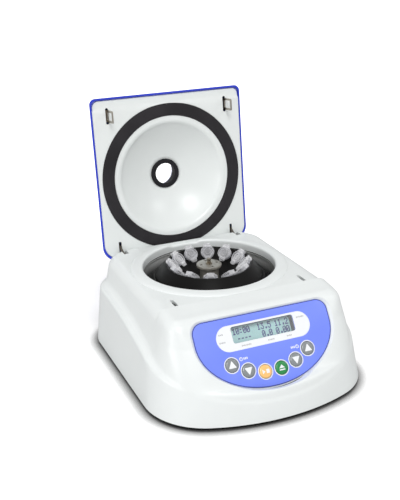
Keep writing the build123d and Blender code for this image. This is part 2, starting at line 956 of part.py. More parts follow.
with BuildPart() as board_spacers:
    with BuildSketch(panel_plane.offset(-wall_back - board_gap)):
        with Locations(*spacer_spots):
            Circle(spacer_radius)
    extrude(amount=board_gap)
save(board_spacers, "board_spacers")

button_height = board_gap - key_play - key_flange_thick - key_travel - key_play
with BuildPart() as key_switches:
    with BuildSketch(panel_plane.offset(-wall_back - board_gap)):
        with Locations(*key_spots.values()):
            Rectangle(switch_size, switch_size)
    extrude(amount=switch_height)
    with BuildSketch(panel_plane.offset(-wall_back - board_gap)):
        with Locations(*key_spots.values()):
            Circle(button_radius)
    extrude(amount=button_height)
save(key_switches, "key_switches")

for name, spot in key_spots.items():
    with BuildPart() as key:
        with BuildSketch(panel_plane.offset(-wall_back - key_play - key_flange_thick)):
            with Locations(spot):
                Circle(key_flange)
        extrude(amount=key_flange_thick)
        with BuildSketch(panel_plane.offset(-wall_back - key_play)):
            with Locations(spot):
                Circle(key_radius)
        extrude(amount=wall_back + key_play + key_proud)
        fillet(key.faces().sort_by(Axis(panel_plane.origin, panel_plane.z_dir))[-1].edges(), key_round)
    save(key, f"key_{name}")

# Main board with its power parts, on the bottom plate
board_z = plate_top + standoff_height
board_x = main_width / 2 - 5
board_y = main_depth / 2 - 5
board_spots = [(x * board_x, main_y + y * board_y) for x in (-1, 1) for y in (-1, 1)]
with BuildPart() as board_standoffs:
    with BuildSketch(Plane.XY.offset(plate_top)):
        with Locations(*board_spots):
            Circle(standoff_radius)
    extrude(amount=standoff_height)
save(board_standoffs, "board_standoffs")

with BuildPart() as main_board:
    with BuildSketch(Plane.XY.offset(board_z)):
        with Locations((0, main_y)):
            Rectangle(main_width, main_depth)
    extrude(amount=board_thick)
save(main_board, "main_board")

with BuildPart() as transformer:
    with BuildSketch(Plane.XY.offset(board_z + board_thick)):
        with Locations((-main_width / 4, main_y)):
            Rectangle(transformer_width, transformer_depth)
    extrude(amount=transformer_height)
save(transformer, "transformer")

with BuildPart() as capacitors:
    with BuildSketch(Plane.XY.offset(board_z + board_thick)):
        with Locations((main_width / 4, main_y)):
            with GridLocations(3 * capacitor_radius, 0, 3, 1):
                Circle(capacitor_radius)
    extrude(amount=capacitor_height)
save(capacitors, "capacitors")

# Lid, drawn shut: a domed blue shell over a white liner
liner_top = lid_z + liner_thick


def lid_form(inset, bottom_z):
    with BuildPart() as form:
        for level in (bottom_z, lid_top):
            step = inset + (level - lid_z) * tan(radians(lid_lean))
            with BuildSketch(Plane.XY.offset(level)):
                make_face(lid_outline(step, lid_front_corner, lid_rear_corner))
        loft(ruled=True)
        with Locations((0, lid_middle, sphere_z)):
            Sphere(lid_arch - inset, mode=Mode.INTERSECT)
        top_face = form.faces().filter_by(GeomType.SPHERE)[0]
        fillet(top_face.edges(), lid_edge_round - inset)
    return form.part


with BuildPart() as lid_shell:
    add(lid_form(0, lid_z))
    add(lid_form(lid_wall, lid_z - 1), mode=Mode.SUBTRACT)
    with BuildSketch(Plane.XY.offset(lid_top + 1)):
        with Locations((0, axis_y)):
            Circle(sight_hole)
    extrude(amount=-lid_arch / 4, mode=Mode.SUBTRACT)
save(lid_shell, "lid_shell", lid_place)

groove_gap = fit_gap
groove_z = gasket_face + gasket_thick
dome_top = lid_z + dome_depth
liner_inside = lid_form(lid_wall + liner_gap, lid_z)
with BuildPart() as lid_liner:
    with BuildSketch(Plane.XY.offset(lid_z)):
        make_face(lid_outline(lid_wall + liner_gap, lid_front_corner, lid_rear_corner))
        with Locations((0, axis_y)):
            Circle(gasket_outer + groove_gap, mode=Mode.SUBTRACT)
    extrude(amount=liner_thick)
    with BuildSketch(spin_plane):
        with BuildLine():
            Polyline(
                (gasket_outer + groove_gap + liner_thick, groove_z + liner_thick),
                (gasket_outer + groove_gap + liner_thick, lid_z),
                (gasket_outer + groove_gap, lid_z),
                (gasket_outer + groove_gap, groove_z),
                (gasket_inner - groove_gap, groove_z),
                (gasket_inner - groove_gap, lid_z),
                (dome_edge, lid_z),
            )
            Spline(
                (dome_edge, lid_z),
                (0.72 * dome_edge, lid_z + 0.6 * dome_depth),
                (grommet_radius, dome_top),
                tangents=[(-0.25, 1), (-1, 0)],
            )
            Polyline(
                (grommet_radius, dome_top),
                (grommet_neck + grommet_gap / 4, dome_top),
                (grommet_neck + grommet_gap / 4, dome_top + liner_thick),
                (grommet_radius, dome_top + liner_thick),
            )
            Spline(
                (grommet_radius, dome_top + liner_thick),
                (0.72 * dome_edge + 0.8 * liner_thick, lid_z + 0.6 * dome_depth + 0.7 * liner_thick),
                (dome_edge + liner_thick, groove_z + liner_thick),
                tangents=[(1, 0), (0.3, -1)],
            )
            Line(
                (dome_edge + liner_thick, groove_z + liner_thick),
                (gasket_outer + groove_gap + liner_thick, groove_z + liner_thick),
            )
        make_face()
    revolve(axis=spin_axis)
    add(liner_inside, mode=Mode.INTERSECT)
    with BuildSketch(Plane.XY.offset(lid_z - 1)):
        with Locations((-striker_x, striker_y), (striker_x, striker_y)):
            Rectangle(striker_thick + 2 * liner_slot_gap, striker_length + 2 * liner_slot_gap)
        with Locations((-hinge_x, arm_slot_middle), (hinge_x, arm_slot_middle)):
            Rectangle(arm_thick + 2 * liner_slot_gap, arm_slot_length)
    extrude(amount=2 * liner_thick, mode=Mode.SUBTRACT)
save(lid_liner, "lid_liner", lid_place)

with BuildPart() as lid_gasket:
    with BuildSketch(spin_plane):
        with BuildLine():
            Polyline(
                (gasket_inner, groove_z),
                (gasket_inner, gasket_face + gasket_edge),
                (gasket_inner + gasket_edge, gasket_face),
                (gasket_outer - gasket_edge, gasket_face),
                (gasket_outer, gasket_face + gasket_edge),
                (gasket_outer, groove_z),
                close=True,
            )
        make_face()
    revolve(axis=spin_axis)
save(lid_gasket, "lid_gasket", lid_place)

tube_top = lid_top - lid_wall - grommet_gap
with BuildPart() as sight_grommet:
    with BuildSketch(spin_plane):
        with BuildLine():
            Polyline(
                (grommet_bore, dome_top - grommet_lip),
                (grommet_radius, dome_top - grommet_lip),
                (grommet_radius, dome_top),
                (grommet_neck, dome_top),
                (grommet_neck, tube_top),
                (window_radius + fit_gap, tube_top),
                (window_radius + fit_gap, tube_top - sight_window_thick),
                (grommet_bore, tube_top - sight_window_thick),
                close=True,
            )
        make_face()
    revolve(axis=spin_axis)
save(sight_grommet, "sight_grommet", lid_place)

with BuildPart() as sight_window:
    with BuildSketch(Plane.XY.offset(tube_top - sight_window_thick)):
        with Locations((0, axis_y)):
            Circle(window_radius)
    extrude(amount=sight_window_thick)
save(sight_window, "sight_window", lid_place)

# Strikers and hinge arms stand through slots in the liner, each with a foot screwed to it
striker_bottom = lid_z - striker_reach
side_names = {"left": -1, "right": 1}
for name, side in side_names.items():
    with BuildPart() as striker:
        with BuildSketch(Plane.YZ.offset(side * striker_x - striker_thick / 2)):
            with Locations((striker_y, striker_bottom)):
                Rectangle(
                    striker_length,
                    striker_reach + striker_root,
                    align=(Align.CENTER, Align.MIN),
                )
            with Locations((striker_y, striker_bottom + striker_bar)):
                Rectangle(
                    striker_length - 2 * striker_bar,
                    striker_window,
                    align=(Align.CENTER, Align.MIN),
                    mode=Mode.SUBTRACT,
                )
        extrude(amount=striker_thick)
        with BuildSketch(Plane.XY.offset(liner_top)):
            with Locations((side * (striker_x + foot_flange / 2), striker_y)):
                Rectangle(foot_flange, striker_length)
        extrude(amount=foot_flange_thick)
    save(striker, f"striker_{name}", lid_place)
    with BuildPart() as arm:
        with BuildSketch(Plane.YZ.offset(side * hinge_x - arm_thick / 2)):
            with Locations((hinge_y, hinge_z)):
                Circle(arm_boss)
            with BuildLine():
                Polyline(
                    (hinge_y - arm_boss, hinge_z),
                    (arm_front, liner_top),
                    (arm_toe, liner_top),
                    (arm_toe, liner_top + arm_height),
                    (arm_back, liner_top + arm_height),
                    (hinge_y + arm_boss, hinge_z),
                    close=True,
                )
            make_face()
            with Locations((hinge_y, hinge_z)):
                Circle(pin_radius + fit_gap, mode=Mode.SUBTRACT)
        extrude(amount=arm_thick)
        with BuildSketch(Plane.XY.offset(liner_top)):
            with Locations((side * (hinge_x + foot_flange / 2), (arm_toe + arm_front) / 2)):
                Rectangle(foot_flange, arm_front - arm_toe)
        extrude(amount=foot_flange_thick)
    save(arm, f"hinge_arm_{name}", lid_place)

screw_x = hinge_x + foot_flange / 2 + arm_thick / 4
screw_rows = (arm_toe + 2.7, arm_front - 2.7, striker_y)
lid_screw_spots = [(side * screw_x, y) for side in (-1, 1) for y in screw_rows]
with BuildPart() as lid_screws:
    with BuildSketch(Plane.XY.offset(liner_top + foot_flange_thick)):
        with Locations(*lid_screw_spots):
            Circle(lid_screw_head)
    extrude(amount=lid_screw_height)
save(lid_screws, "lid_screws", lid_place)

# Hinge shaft across the back of the deck and the plates that carry it
deck_under = deck_z - wall
with BuildPart() as hinge_shaft:
    with BuildSketch(Plane.YZ.offset(-shaft_end)):
        with Locations((hinge_y, hinge_z)):
            Circle(pin_radius)
    extrude(amount=2 * shaft_end)
save(hinge_shaft, "hinge_shaft")

with BuildPart() as hinge_brackets:
    for side in (-1, 1):
        for offset in (0, bracket_pitch):
            with BuildSketch(Plane.YZ.offset(side * (bracket_x - offset) - bracket_thick / 2)):
                with Locations((hinge_y - bracket_shift, deck_under)):
                    Rectangle(bracket_depth, bracket_drop, align=(Align.CENTER, Align.MAX))
                with Locations((hinge_y, hinge_z)):
                    Circle(pin_radius + fit_gap, mode=Mode.SUBTRACT)
            extrude(amount=bracket_thick)
    add(cavity, mode=Mode.INTERSECT)
save(hinge_brackets, "hinge_brackets")

# Latch: a sliding bar whose pins enter the strikers, driven by a solenoid
pin_length = latch_travel + guide_gap
right_face = striker_x - striker_thick / 2
left_face = -striker_x - striker_thick / 2
finger_spots = (right_face - latch_tip_gap - pin_length, left_face - latch_tip_gap - pin_length)
bar_left = finger_spots[1] - latch_finger
bar_right = finger_spots[0]
with BuildPart() as latch_bar:
    with BuildSketch(Plane.XY.offset(latch_z - latch_bar_height / 2)):
        with Locations(((bar_left + bar_right) / 2, latch_y)):
            Rectangle(bar_right - bar_left, latch_bar_depth)
        for x in finger_spots:
            with Locations((x, latch_y)):
                Rectangle(latch_finger, latch_finger_end - latch_y, align=(Align.MAX, Align.MIN))
    extrude(amount=latch_bar_height)
    for x in finger_spots:
        with BuildSketch(Plane.YZ.offset(x)):
            with Locations((pin_y, latch_z)):
                Circle(latch_pin)
        extrude(amount=pin_length)
    with BuildSketch(Plane.YZ.offset(plunger_reach)):
        with Locations((solenoid_y, latch_z)):
            Rectangle(
                2 * plunger_radius + 2,
                latch_z - solenoid_z + plunger_radius,
                align=(Align.CENTER, Align.MAX),
            )
    extrude(amount=tab_thick)
save(latch_bar, "latch_bar")

with BuildPart() as solenoid_plunger:
    with BuildSketch(Plane.YZ.offset(plunger_reach)):
        with Locations((solenoid_y, solenoid_z)):
            Circle(plunger_radius)
    extrude(amount=-plunger_reach - plunger_depth + 2 * latch_travel / 2)
save(solenoid_plunger, "solenoid_plunger")

with BuildPart() as solenoid_body:
    with BuildSketch(Plane.YZ):
        with Locations((solenoid_y, solenoid_z)):
            Rectangle(solenoid_size, solenoid_size)
    extrude(amount=-solenoid_length)
    with BuildSketch(Plane.YZ):
        with Locations((solenoid_y, solenoid_z)):
            Circle(plunger_radius + latch_tip_gap)
    extrude(amount=-plunger_depth - latch_travel, mode=Mode.SUBTRACT)
save(solenoid_body, "solenoid_body")

with BuildPart() as solenoid_bracket:
    with BuildSketch(Plane.YZ):
        with Locations((solenoid_y + solenoid_size / 2, solenoid_z - solenoid_size / 2)):
            Rectangle(bracket_thick, deck_z - solenoid_z + solenoid_size / 2, align=(Align.MIN, Align.MIN))
    extrude(amount=-solenoid_length)
    add(cavity, mode=Mode.INTERSECT)
save(solenoid_bracket, "solenoid_bracket")

guide_height = latch_bar_height + 2 * guide_gap
with BuildPart() as latch_guides:
    for x in (-guide_x, guide_x):
        with BuildSketch(Plane.YZ.offset(x - guide_length / 2)):
            with Locations((latch_y, latch_z - latch_bar_height / 2 - guide_gap - guide_wall)):
                Rectangle(
                    latch_bar_depth + 2 * guide_gap + 2 * guide_wall,
                    deck_z,
                    align=(Align.CENTER, Align.MIN),
                )
            with Locations((latch_y, latch_z)):
                Rectangle(latch_bar_depth + 2 * guide_gap, guide_height, mode=Mode.SUBTRACT)
        extrude(amount=guide_length)
    add(cavity, mode=Mode.INTERSECT)
save(latch_guides, "latch_guides")

with BuildPart() as lid_switch:
    with BuildSketch(Plane.XY.offset(deck_under)):
        with Locations((switch_x, striker_y)):
            Rectangle(switch_box[0], switch_box[1])
    extrude(amount=-switch_box[2])
save(lid_switch, "lid_switch")

# Power socket, power switch and its rocker in the rear wall, the rocker on two short pins
rocker_pin_length = rocker_width - 2 * rocker_wall + 2 * rocker_pin_seat
pivot_plane = Plane(
    origin=rear_plane.from_local_coords((-rocker_x, 0, rocker_bezel - rocker_pivot)),
    x_dir=(0, 1, 0),
    z_dir=(1, 0, 0),
)
with BuildPart() as power_inlet:
    with BuildSketch(rear_plane.offset(-wall)):
        with Locations((-socket_x, 0)):
            Circle(socket_radius - socket_gap)
    extrude(amount=wall)
    with BuildSketch(rear_plane.offset(-wall - socket_depth)):
        with Locations((-socket_x, 0)):
            Rectangle(socket_block, socket_block)
    extrude(amount=socket_depth)
    with BuildSketch(rear_plane):
        with Locations((-socket_x, 0)):
            Circle(socket_bore)
            Circle(socket_pin, mode=Mode.SUBTRACT)
    extrude(amount=-socket_bore_depth, mode=Mode.SUBTRACT)
save(power_inlet, "power_inlet")

with BuildPart() as power_switch_body:
    with BuildSketch(rear_plane):
        with Locations((-rocker_x, 0)):
            Rectangle(rocker_width + 2 * rocker_frame, rocker_height + 2 * rocker_frame)
    extrude(amount=rocker_bezel)
    with BuildSketch(rear_plane):
        with Locations((-rocker_x, 0)):
            Rectangle(rocker_width - 2 * rocker_gap, rocker_height - 2 * rocker_gap)
    extrude(amount=-rocker_depth)
    with BuildSketch(rear_plane.offset(rocker_bezel)):
        with Locations((-rocker_x, 0)):
            Rectangle(rocker_width - 2 * rocker_wall, rocker_height - 2 * rocker_wall)
    extrude(amount=-rocker_hollow, mode=Mode.SUBTRACT)
    with BuildSketch(pivot_plane):
        Circle(rocker_pin + fit_gap)
    extrude(amount=rocker_pin_length / 2 + fit_gap, both=True, mode=Mode.SUBTRACT)
save(power_switch_body, "power_switch_body")

rocker_place = rear_plane.location * Pos(-rocker_x, 0, rocker_bezel - rocker_pivot) * Rot(-rocker_tilt, 0, 0)
with BuildPart() as power_rocker:
    with BuildSketch(Plane.YZ.offset(-rocker_width / 2 + rocker_wall + rocker_gap)):
        with BuildLine():
            Polyline(
                (-rocker_half, -1),
                (rocker_half, -1),
                (rocker_half, rocker_pivot),
                (0, rocker_pivot - rocker_half * tan(radians(rocker_tilt))),
                (-rocker_half, rocker_pivot),
                close=True,
            )
        make_face()
    extrude(amount=rocker_width - 2 * rocker_wall - 2 * rocker_gap)
    with BuildSketch(Plane.YZ):
        Circle(rocker_pin)
    extrude(amount=rocker_pin_length / 2, both=True)
save(power_rocker, "power_rocker", rocker_place)
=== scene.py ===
"""Looks of an open mini centrifuge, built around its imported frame."""

import json
import logging
import math
from collections.abc import Callable
from dataclasses import dataclass, field
from enum import Enum

import bmesh
import bpy
import numpy as np
from mathutils import Matrix, Vector


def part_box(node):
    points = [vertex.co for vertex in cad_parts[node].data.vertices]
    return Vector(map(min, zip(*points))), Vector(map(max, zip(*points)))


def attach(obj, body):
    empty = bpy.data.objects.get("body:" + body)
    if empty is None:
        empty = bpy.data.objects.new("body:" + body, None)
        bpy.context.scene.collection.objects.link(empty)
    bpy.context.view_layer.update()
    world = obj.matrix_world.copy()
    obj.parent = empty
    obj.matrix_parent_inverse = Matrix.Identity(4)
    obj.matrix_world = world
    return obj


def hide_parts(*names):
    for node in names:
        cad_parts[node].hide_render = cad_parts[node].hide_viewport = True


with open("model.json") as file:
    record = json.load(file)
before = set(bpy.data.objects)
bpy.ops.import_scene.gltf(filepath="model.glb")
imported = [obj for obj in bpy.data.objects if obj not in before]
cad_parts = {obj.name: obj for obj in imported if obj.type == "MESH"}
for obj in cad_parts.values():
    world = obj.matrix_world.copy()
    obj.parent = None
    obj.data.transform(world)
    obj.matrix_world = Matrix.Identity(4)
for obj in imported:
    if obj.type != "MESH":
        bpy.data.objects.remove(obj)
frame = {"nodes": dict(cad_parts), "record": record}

log = logging.getLogger("centrifuge")
MM = 0.001
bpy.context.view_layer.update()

# Places that the pieces share, in millimetres from the floor under the middle of the machine's body: the well's axis,
# the hinge, the deck, the panel's plane, the strikers' slots and the hinge arms
AXIS_Y = 33.5
HINGE_Y, HINGE_Z = 105.0, 76.0
OPEN_ANGLE = math.radians(96.0)
DECK_Z = 82.0
PANEL_Y, PANEL_Z = -84.7, 55.7
PANEL_TILT = math.radians(56.6)
LATCH_X, LATCH_Y = 61.7, -32.8
ARM_X = 61.0
# Stands a flat plate on edge: what it draws as X runs from front to back, what it draws as Y runs up
ON_EDGE = Matrix(((0, 0, 1, 0), (1, 0, 0, 0), (0, 1, 0, 0), (0, 0, 0, 1)))
# The frame's origin lies under the middle of the open machine instead, so fitted pieces move by this, in metres
SHIFT = sum(corner[1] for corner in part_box("rotor_hub")) / 2.0 - AXIS_Y * MM


# ---------------------------------------------------------------- nodes


def add_nodes(nodes: bpy.types.Nodes, *kinds: str) -> list:
    """Add one node of each kind.

    Args:
        nodes: Where they go.
        kinds: Their types.

    Returns:
        The new nodes, in the order of their types.
    """
    return [nodes.new(kind) for kind in kinds]


def preset(node: bpy.types.Node, **values: float) -> None:
    """Set a node's inputs.

    Args:
        node: The node.
        values: Values by the names of the inputs, with underscores for spaces.
    """
    for name, value in values.items():
        node.inputs[name.replace("_", " ")].default_value = value


def wire(links: bpy.types.NodeLinks, *joints: tuple) -> None:
    """Link nodes by a table.

    Args:
        links: Where the links go.
        joints: For each link a node and its output, then a node and its input.
    """
    for source, output, sink, entry in joints:
        links.new(source.outputs[output], sink.inputs[entry])


# ---------------------------------------------------------------- finishes

# What the finishes share: sizes of the clouds and of the colour steps in them, swing of the roughness, depth of the
# relief in metres, and the gloss coat's roughness
CLOUD_SCALE, CLOUD_DETAIL, FINE_DETAIL = 28.0, 3.0, 2.0
TONE_FROM, TONE_TO = 0.35, 0.65
ROUGH_SWING, ROUGH_LEAST = 0.05, 0.02
RELIEF = 0.0002
COAT_ROUGHNESS = 0.08
RUBBER_SHINE = 0.25
# Clear finishes: how the sight through them falls off towards their edges
EDGE_BLEND, EDGE_GAIN, CLEAR_IOR = 0.36, 0.80, 1.45


class Kind(Enum):
    """The families of finish that the machine has."""

    MOULDED = "moulded"
    GLOSS = "gloss"
    RUBBER = "rubber"
    METAL = "metal"
    CLEAR = "clear"


@dataclass(frozen=True)
class Finish:
    """One finish: a base colour, with fine variation, roughness and bump from nodes.

    The coat is the gloss coat's weight, or how much of a clear finish is left where it faces the viewer. The fade
    holds two heights in millimetres and the colour that takes over between them.
    """

    name: str
    colour: tuple[float, float, float]
    kind: Kind = Kind.MOULDED
    roughness: float = 0.4
    tint: float = 0.03
    grain: float = 900.0
    bump: float = 0.04
    coat: float = 0.0
    fade: tuple = ()
    shine: float = 0.5

    def build(self) -> bpy.types.Material:
        """Make the node material once, and share it afterwards.

        Returns:
            The material.
        """
        title = f"look_{self.name}"
        made = bpy.data.materials.get(title)
        if made:
            return made
        material = bpy.data.materials.new(title)
        material.use_nodes = True
        nodes, links = material.node_tree.nodes, material.node_tree.links
        shader = nodes["Principled BSDF"]
        place, cloud, fine, tone, rough, relief = add_nodes(
            nodes, "ShaderNodeTexCoord", "ShaderNodeTexNoise", "ShaderNodeTexNoise", "ShaderNodeValToRGB",
            "ShaderNodeMapRange", "ShaderNodeBump")
        preset(cloud, Scale=CLOUD_SCALE, Detail=CLOUD_DETAIL)
        preset(fine, Scale=self.grain, Detail=FINE_DETAIL)
        dark = tuple(c * (1.0 - self.tint) for c in self.colour)
        pale = tuple(min(1.0, c * (1.0 + self.tint * 0.5)) for c in self.colour)
        for end, spot, colour in zip(tone.color_ramp.elements, (TONE_FROM, TONE_TO), (dark, pale)):
            end.position, end.color = spot, (*colour, 1.0)
        preset(rough, To_Min=max(ROUGH_LEAST, self.roughness - ROUGH_SWING), To_Max=self.roughness + ROUGH_SWING)
        preset(relief, Strength=self.bump, Distance=RELIEF)
        wire(links, (place, "Object", cloud, "Vector"), (place, "Object", fine, "Vector"), (cloud, "Fac", tone, "Fac"),
             (fine, "Fac", rough, "Value"), (rough, "Result", shader, "Roughness"), (fine, "Fac", relief, "Height"),
             (relief, "Normal", shader, "Normal"))
        links.new(self.faded(nodes, links, place, tone.outputs["Color"]), shader.inputs["Base Color"])
        shader.inputs["Specular IOR Level"].default_value = self.shine
        if self.kind is Kind.METAL:
            shader.inputs["Metallic"].default_value = 1.0
        if self.kind is Kind.GLOSS:
            shader.inputs["Coat Weight"].default_value = self.coat
            shader.inputs["Coat Roughness"].default_value = COAT_ROUGHNESS
        if self.kind is Kind.RUBBER:
            shader.inputs["Specular IOR Level"].default_value = RUBBER_SHINE
        if self.kind is Kind.CLEAR:
            shader.inputs["IOR"].default_value = CLEAR_IOR
            edge, clear = add_nodes(nodes, "ShaderNodeLayerWeight", "ShaderNodeMapRange")
            preset(edge, Blend=EDGE_BLEND)
            preset(clear, To_Min=self.coat, To_Max=min(1.0, self.coat + EDGE_GAIN))
            wire(links, (edge, "Facing", clear, "Value"), (clear, "Result", shader, "Alpha"))
        material.diffuse_color = (*self.colour, 1.0)
        return material

    def faded(self, nodes: bpy.types.Nodes, links: bpy.types.NodeLinks, place: bpy.types.Node,
              colour: bpy.types.NodeSocket) -> bpy.types.NodeSocket:
        """Mix the colour with a second one that takes over with height.

        Args:
            nodes: The material's nodes.
            links: The material's links.
            place: Texture coordinate node.
            colour: The socket that holds the varied base colour.

        Returns:
            The same socket, or the mixed one where the finish has a fade.
        """
        if not self.fade:
            return colour
        low, high, other = self.fade
        split, rise, mix = add_nodes(nodes, "ShaderNodeSeparateXYZ", "ShaderNodeMapRange", "ShaderNodeMix")
        rise.interpolation_type = "SMOOTHSTEP"
        preset(rise, From_Min=low * MM, From_Max=high * MM)
        mix.data_type = "RGBA"
        # The mix node's colour sockets have no names of their own: 0 is the share, 6 and 7 are the two colours
        mix.inputs[7].default_value = (*other, 1.0)
        wire(links, (place, "Object", split, "Vector"), (split, "Z", rise, "Value"), (rise, "Result", mix, 0))
        links.new(colour, mix.inputs[6])
        return mix.outputs[2]


class Shop:
    """Every finish that the machine is dressed in."""

    casing = Finish("casing_white", (0.80, 0.83, 0.825), roughness=0.34, tint=0.012, grain=1500.0, bump=0.03)
    liner = Finish("liner_white", (0.80, 0.83, 0.82), roughness=0.30, tint=0.012, grain=1400.0, bump=0.02)
    cover = Finish("cover_blue", (0.020, 0.045, 0.56), Kind.GLOSS, roughness=0.28, tint=0.05, bump=0.03, coat=0.3)
    foam = Finish("foam_rubber", (0.024, 0.022, 0.025), Kind.RUBBER, roughness=0.75, tint=0.25, grain=700.0,
                  bump=0.35)
    rubber = Finish("grommet_rubber", (0.012, 0.011, 0.014), Kind.RUBBER, roughness=0.5, tint=0.2, bump=0.15)
    # The fade lightens the bowl's upper wall from black to pale grey: a painted reflection of the white lip
    bowl = Finish("bowl_grey", (0.008, 0.008, 0.008), Kind.GLOSS, roughness=0.26, tint=0.12, grain=500.0, bump=0.05,
                  coat=0.1, fade=(57.0, 76.0, (0.66, 0.67, 0.66)), shine=0.3)
    rotor = Finish("rotor_black", (0.0045, 0.0043, 0.0043), Kind.GLOSS, roughness=0.34, tint=0.2, shine=0.16)
    nickel = Finish("nickel", (0.20, 0.19, 0.165), Kind.GLOSS, roughness=0.24, tint=0.10, grain=600.0, bump=0.05,
                    coat=0.6)
    brass = Finish("brass", (0.34, 0.30, 0.24), Kind.METAL, roughness=0.26, tint=0.10, bump=0.04)
    steel = Finish("zinc_steel", (0.50, 0.48, 0.45), Kind.METAL, roughness=0.34, tint=0.12, bump=0.08)
    arm = Finish("arm_steel", (0.15, 0.13, 0.11), Kind.METAL, roughness=0.35, tint=0.2, bump=0.08)
    bronze = Finish("loop_steel", (0.40, 0.36, 0.31), Kind.METAL, roughness=0.30, tint=0.2, bump=0.08)
    tube = Finish("tube_clear", (0.90, 0.91, 0.97), Kind.CLEAR, roughness=0.12, tint=0.02, bump=0.02, coat=0.06)
    cap = Finish("cap_clear", (0.97, 0.97, 1.0), Kind.CLEAR, roughness=0.12, tint=0.02, bump=0.02, coat=0.09)
    film = Finish("film_blue", (0.185, 0.265, 0.96), Kind.GLOSS, roughness=0.42, tint=0.02, bump=0.02, coat=0.05)
    # A darker blue for a band round the film's edge: painted shade of the pocket's wall
    film_edge_shade = Finish("film_edge_shade", (0.035, 0.055, 0.30), Kind.GLOSS, roughness=0.42, tint=0.03, bump=0.02)
    print_white = Finish("print_white", (0.86, 0.88, 0.90), Kind.GLOSS, roughness=0.38, tint=0.01, bump=0.02)
    print_grey = Finish("print_grey", (0.42, 0.43, 0.45), Kind.GLOSS, roughness=0.4, tint=0.02)
    key_grey = Finish("key_grey", (0.24, 0.26, 0.27), Kind.GLOSS, roughness=0.30, tint=0.03, coat=0.3)
    key_amber = Finish("key_amber", (0.98, 0.56, 0.19), Kind.GLOSS, roughness=0.34, tint=0.03, coat=0.3)
    key_green = Finish("key_green", (0.014, 0.25, 0.06), Kind.GLOSS, roughness=0.34, tint=0.03, coat=0.3)
    display = Finish("display_teal", (0.48, 0.80, 0.79), roughness=0.45, tint=0.03, grain=2600.0, bump=0.02)
    ink = Finish("display_ink", (0.008, 0.014, 0.24), roughness=0.5, tint=0.05)
    black = Finish("black_moulding", (0.012, 0.012, 0.014), roughness=0.42, tint=0.2, bump=0.08)
    window = Finish("window_clear", (0.93, 0.97, 1.0), Kind.CLEAR, roughness=0.05, tint=0.0, bump=0.0, coat=0.04)
    board = Finish("board_green", (0.01, 0.11, 0.035), Kind.GLOSS, roughness=0.35, tint=0.25, grain=300.0, coat=0.3)
    copper = Finish("winding_copper", (0.55, 0.22, 0.09), Kind.METAL, roughness=0.4, tint=0.3, grain=400.0, bump=0.3)
    nylon = Finish("nylon", (0.62, 0.61, 0.56), roughness=0.5, tint=0.06)
    iron = Finish("dark_iron", (0.06, 0.06, 0.065), roughness=0.5, tint=0.2, bump=0.15)
    plate = Finish("base_plate", (0.02, 0.02, 0.022), roughness=0.5, tint=0.2, grain=700.0, bump=0.12)


# ---------------------------------------------------------------- mesh tools


def add_object(name: str, data: bpy.types.ID) -> bpy.types.Object:
    """Make an object of a mesh, a lamp or a camera, and link it to the scene."""
    made = bpy.data.objects.new(name, data)
    bpy.context.scene.collection.objects.link(made)
    return made


def make_piece(name: str, points: np.ndarray, faces: list, finish: Finish, sharp: float = 34.0) -> bpy.types.Object:
    """Make a smooth shaded mesh object from points in millimetres.

    Args:
        name: Object name.
        points: Array of corners, one row each, in millimetres.
        faces: Lists of corner numbers.
        finish: What the piece is finished in.
        sharp: Angle in degrees above which an edge stays crisp.

    Returns:
        The new object, linked to the scene.
    """
    mesh = bpy.data.meshes.new(name)
    mesh.from_pydata([tuple(p) for p in np.asarray(points, float) * MM], [], faces)
    mesh.validate()
    mesh.shade_smooth()
    mesh.set_sharp_from_angle(angle=math.radians(sharp))
    mesh.materials.append(finish.build())
    return add_object(name, mesh)


def grid_faces(rows: int, columns: int, wrap_rows: bool = False) -> list:
    """Faces of a grid whose columns go round and meet.

    Args:
        rows: Number of rings.
        columns: Corners in a ring.
        wrap_rows: Whether the last ring joins the first.

    Returns:
        Quads, wound so that they face away when rings run inwards and up.
    """
    faces = []
    for row in range(rows if wrap_rows else rows - 1):
        a, b = row * columns, ((row + 1) % rows) * columns
        for column in range(columns):
            after = (column + 1) % columns
            faces.append((a + column, a + after, b + after, b + column))
    return faces


def tidy(piece: bpy.types.Object) -> bpy.types.Object:
    """Merge doubles and point every face of a closed piece outwards.

    Args:
        piece: The piece, changed in place.

    Returns:
        The same piece.
    """
    form = bmesh.new()
    form.from_mesh(piece.data)
    bmesh.ops.remove_doubles(form, verts=form.verts, dist=0.001 * MM)
    bmesh.ops.recalc_face_normals(form, faces=form.faces)
    form.to_mesh(piece.data)
    form.free()
    return piece


def apply_modifiers(piece: bpy.types.Object) -> bpy.types.Object:
    """Turn the piece's modifiers into plain mesh.

    Args:
        piece: The piece, changed in place.

    Returns:
        The same piece.
    """
    graph = bpy.context.evaluated_depsgraph_get()
    made = bpy.data.meshes.new_from_object(piece.evaluated_get(graph), depsgraph=graph)
    piece.modifiers.clear()
    piece.data = made
    return piece


def lathe(name: str, profile: list, finish: Finish, centre: tuple = (0.0, AXIS_Y), segments: int = 128,
          sharp: float = 34.0) -> bpy.types.Object:
    """Turn a closed profile of (radius, height) about an upright axis.

    Args:
        name: Object name.
        profile: Corners of the section, in millimetres, all off the axis or exactly on it.
        finish: What the piece is finished in.
        centre: Where the axis stands.
        segments: Steps round.
        sharp: Angle above which an edge stays crisp.

    Returns:
        The closed piece.
    """
    turn = np.linspace(0.0, 2.0 * math.pi, segments, endpoint=False)
    rings = [
        np.stack([centre[0] + r * np.cos(turn), centre[1] + r * np.sin(turn), np.full(segments, z)], axis=1)
        for r, z in profile
    ]
    piece = make_piece(name, np.concatenate(rings), grid_faces(len(profile), segments, True), finish, sharp)
    tidy(piece)
    piece.data.set_sharp_from_angle(angle=math.radians(sharp))
    return piece


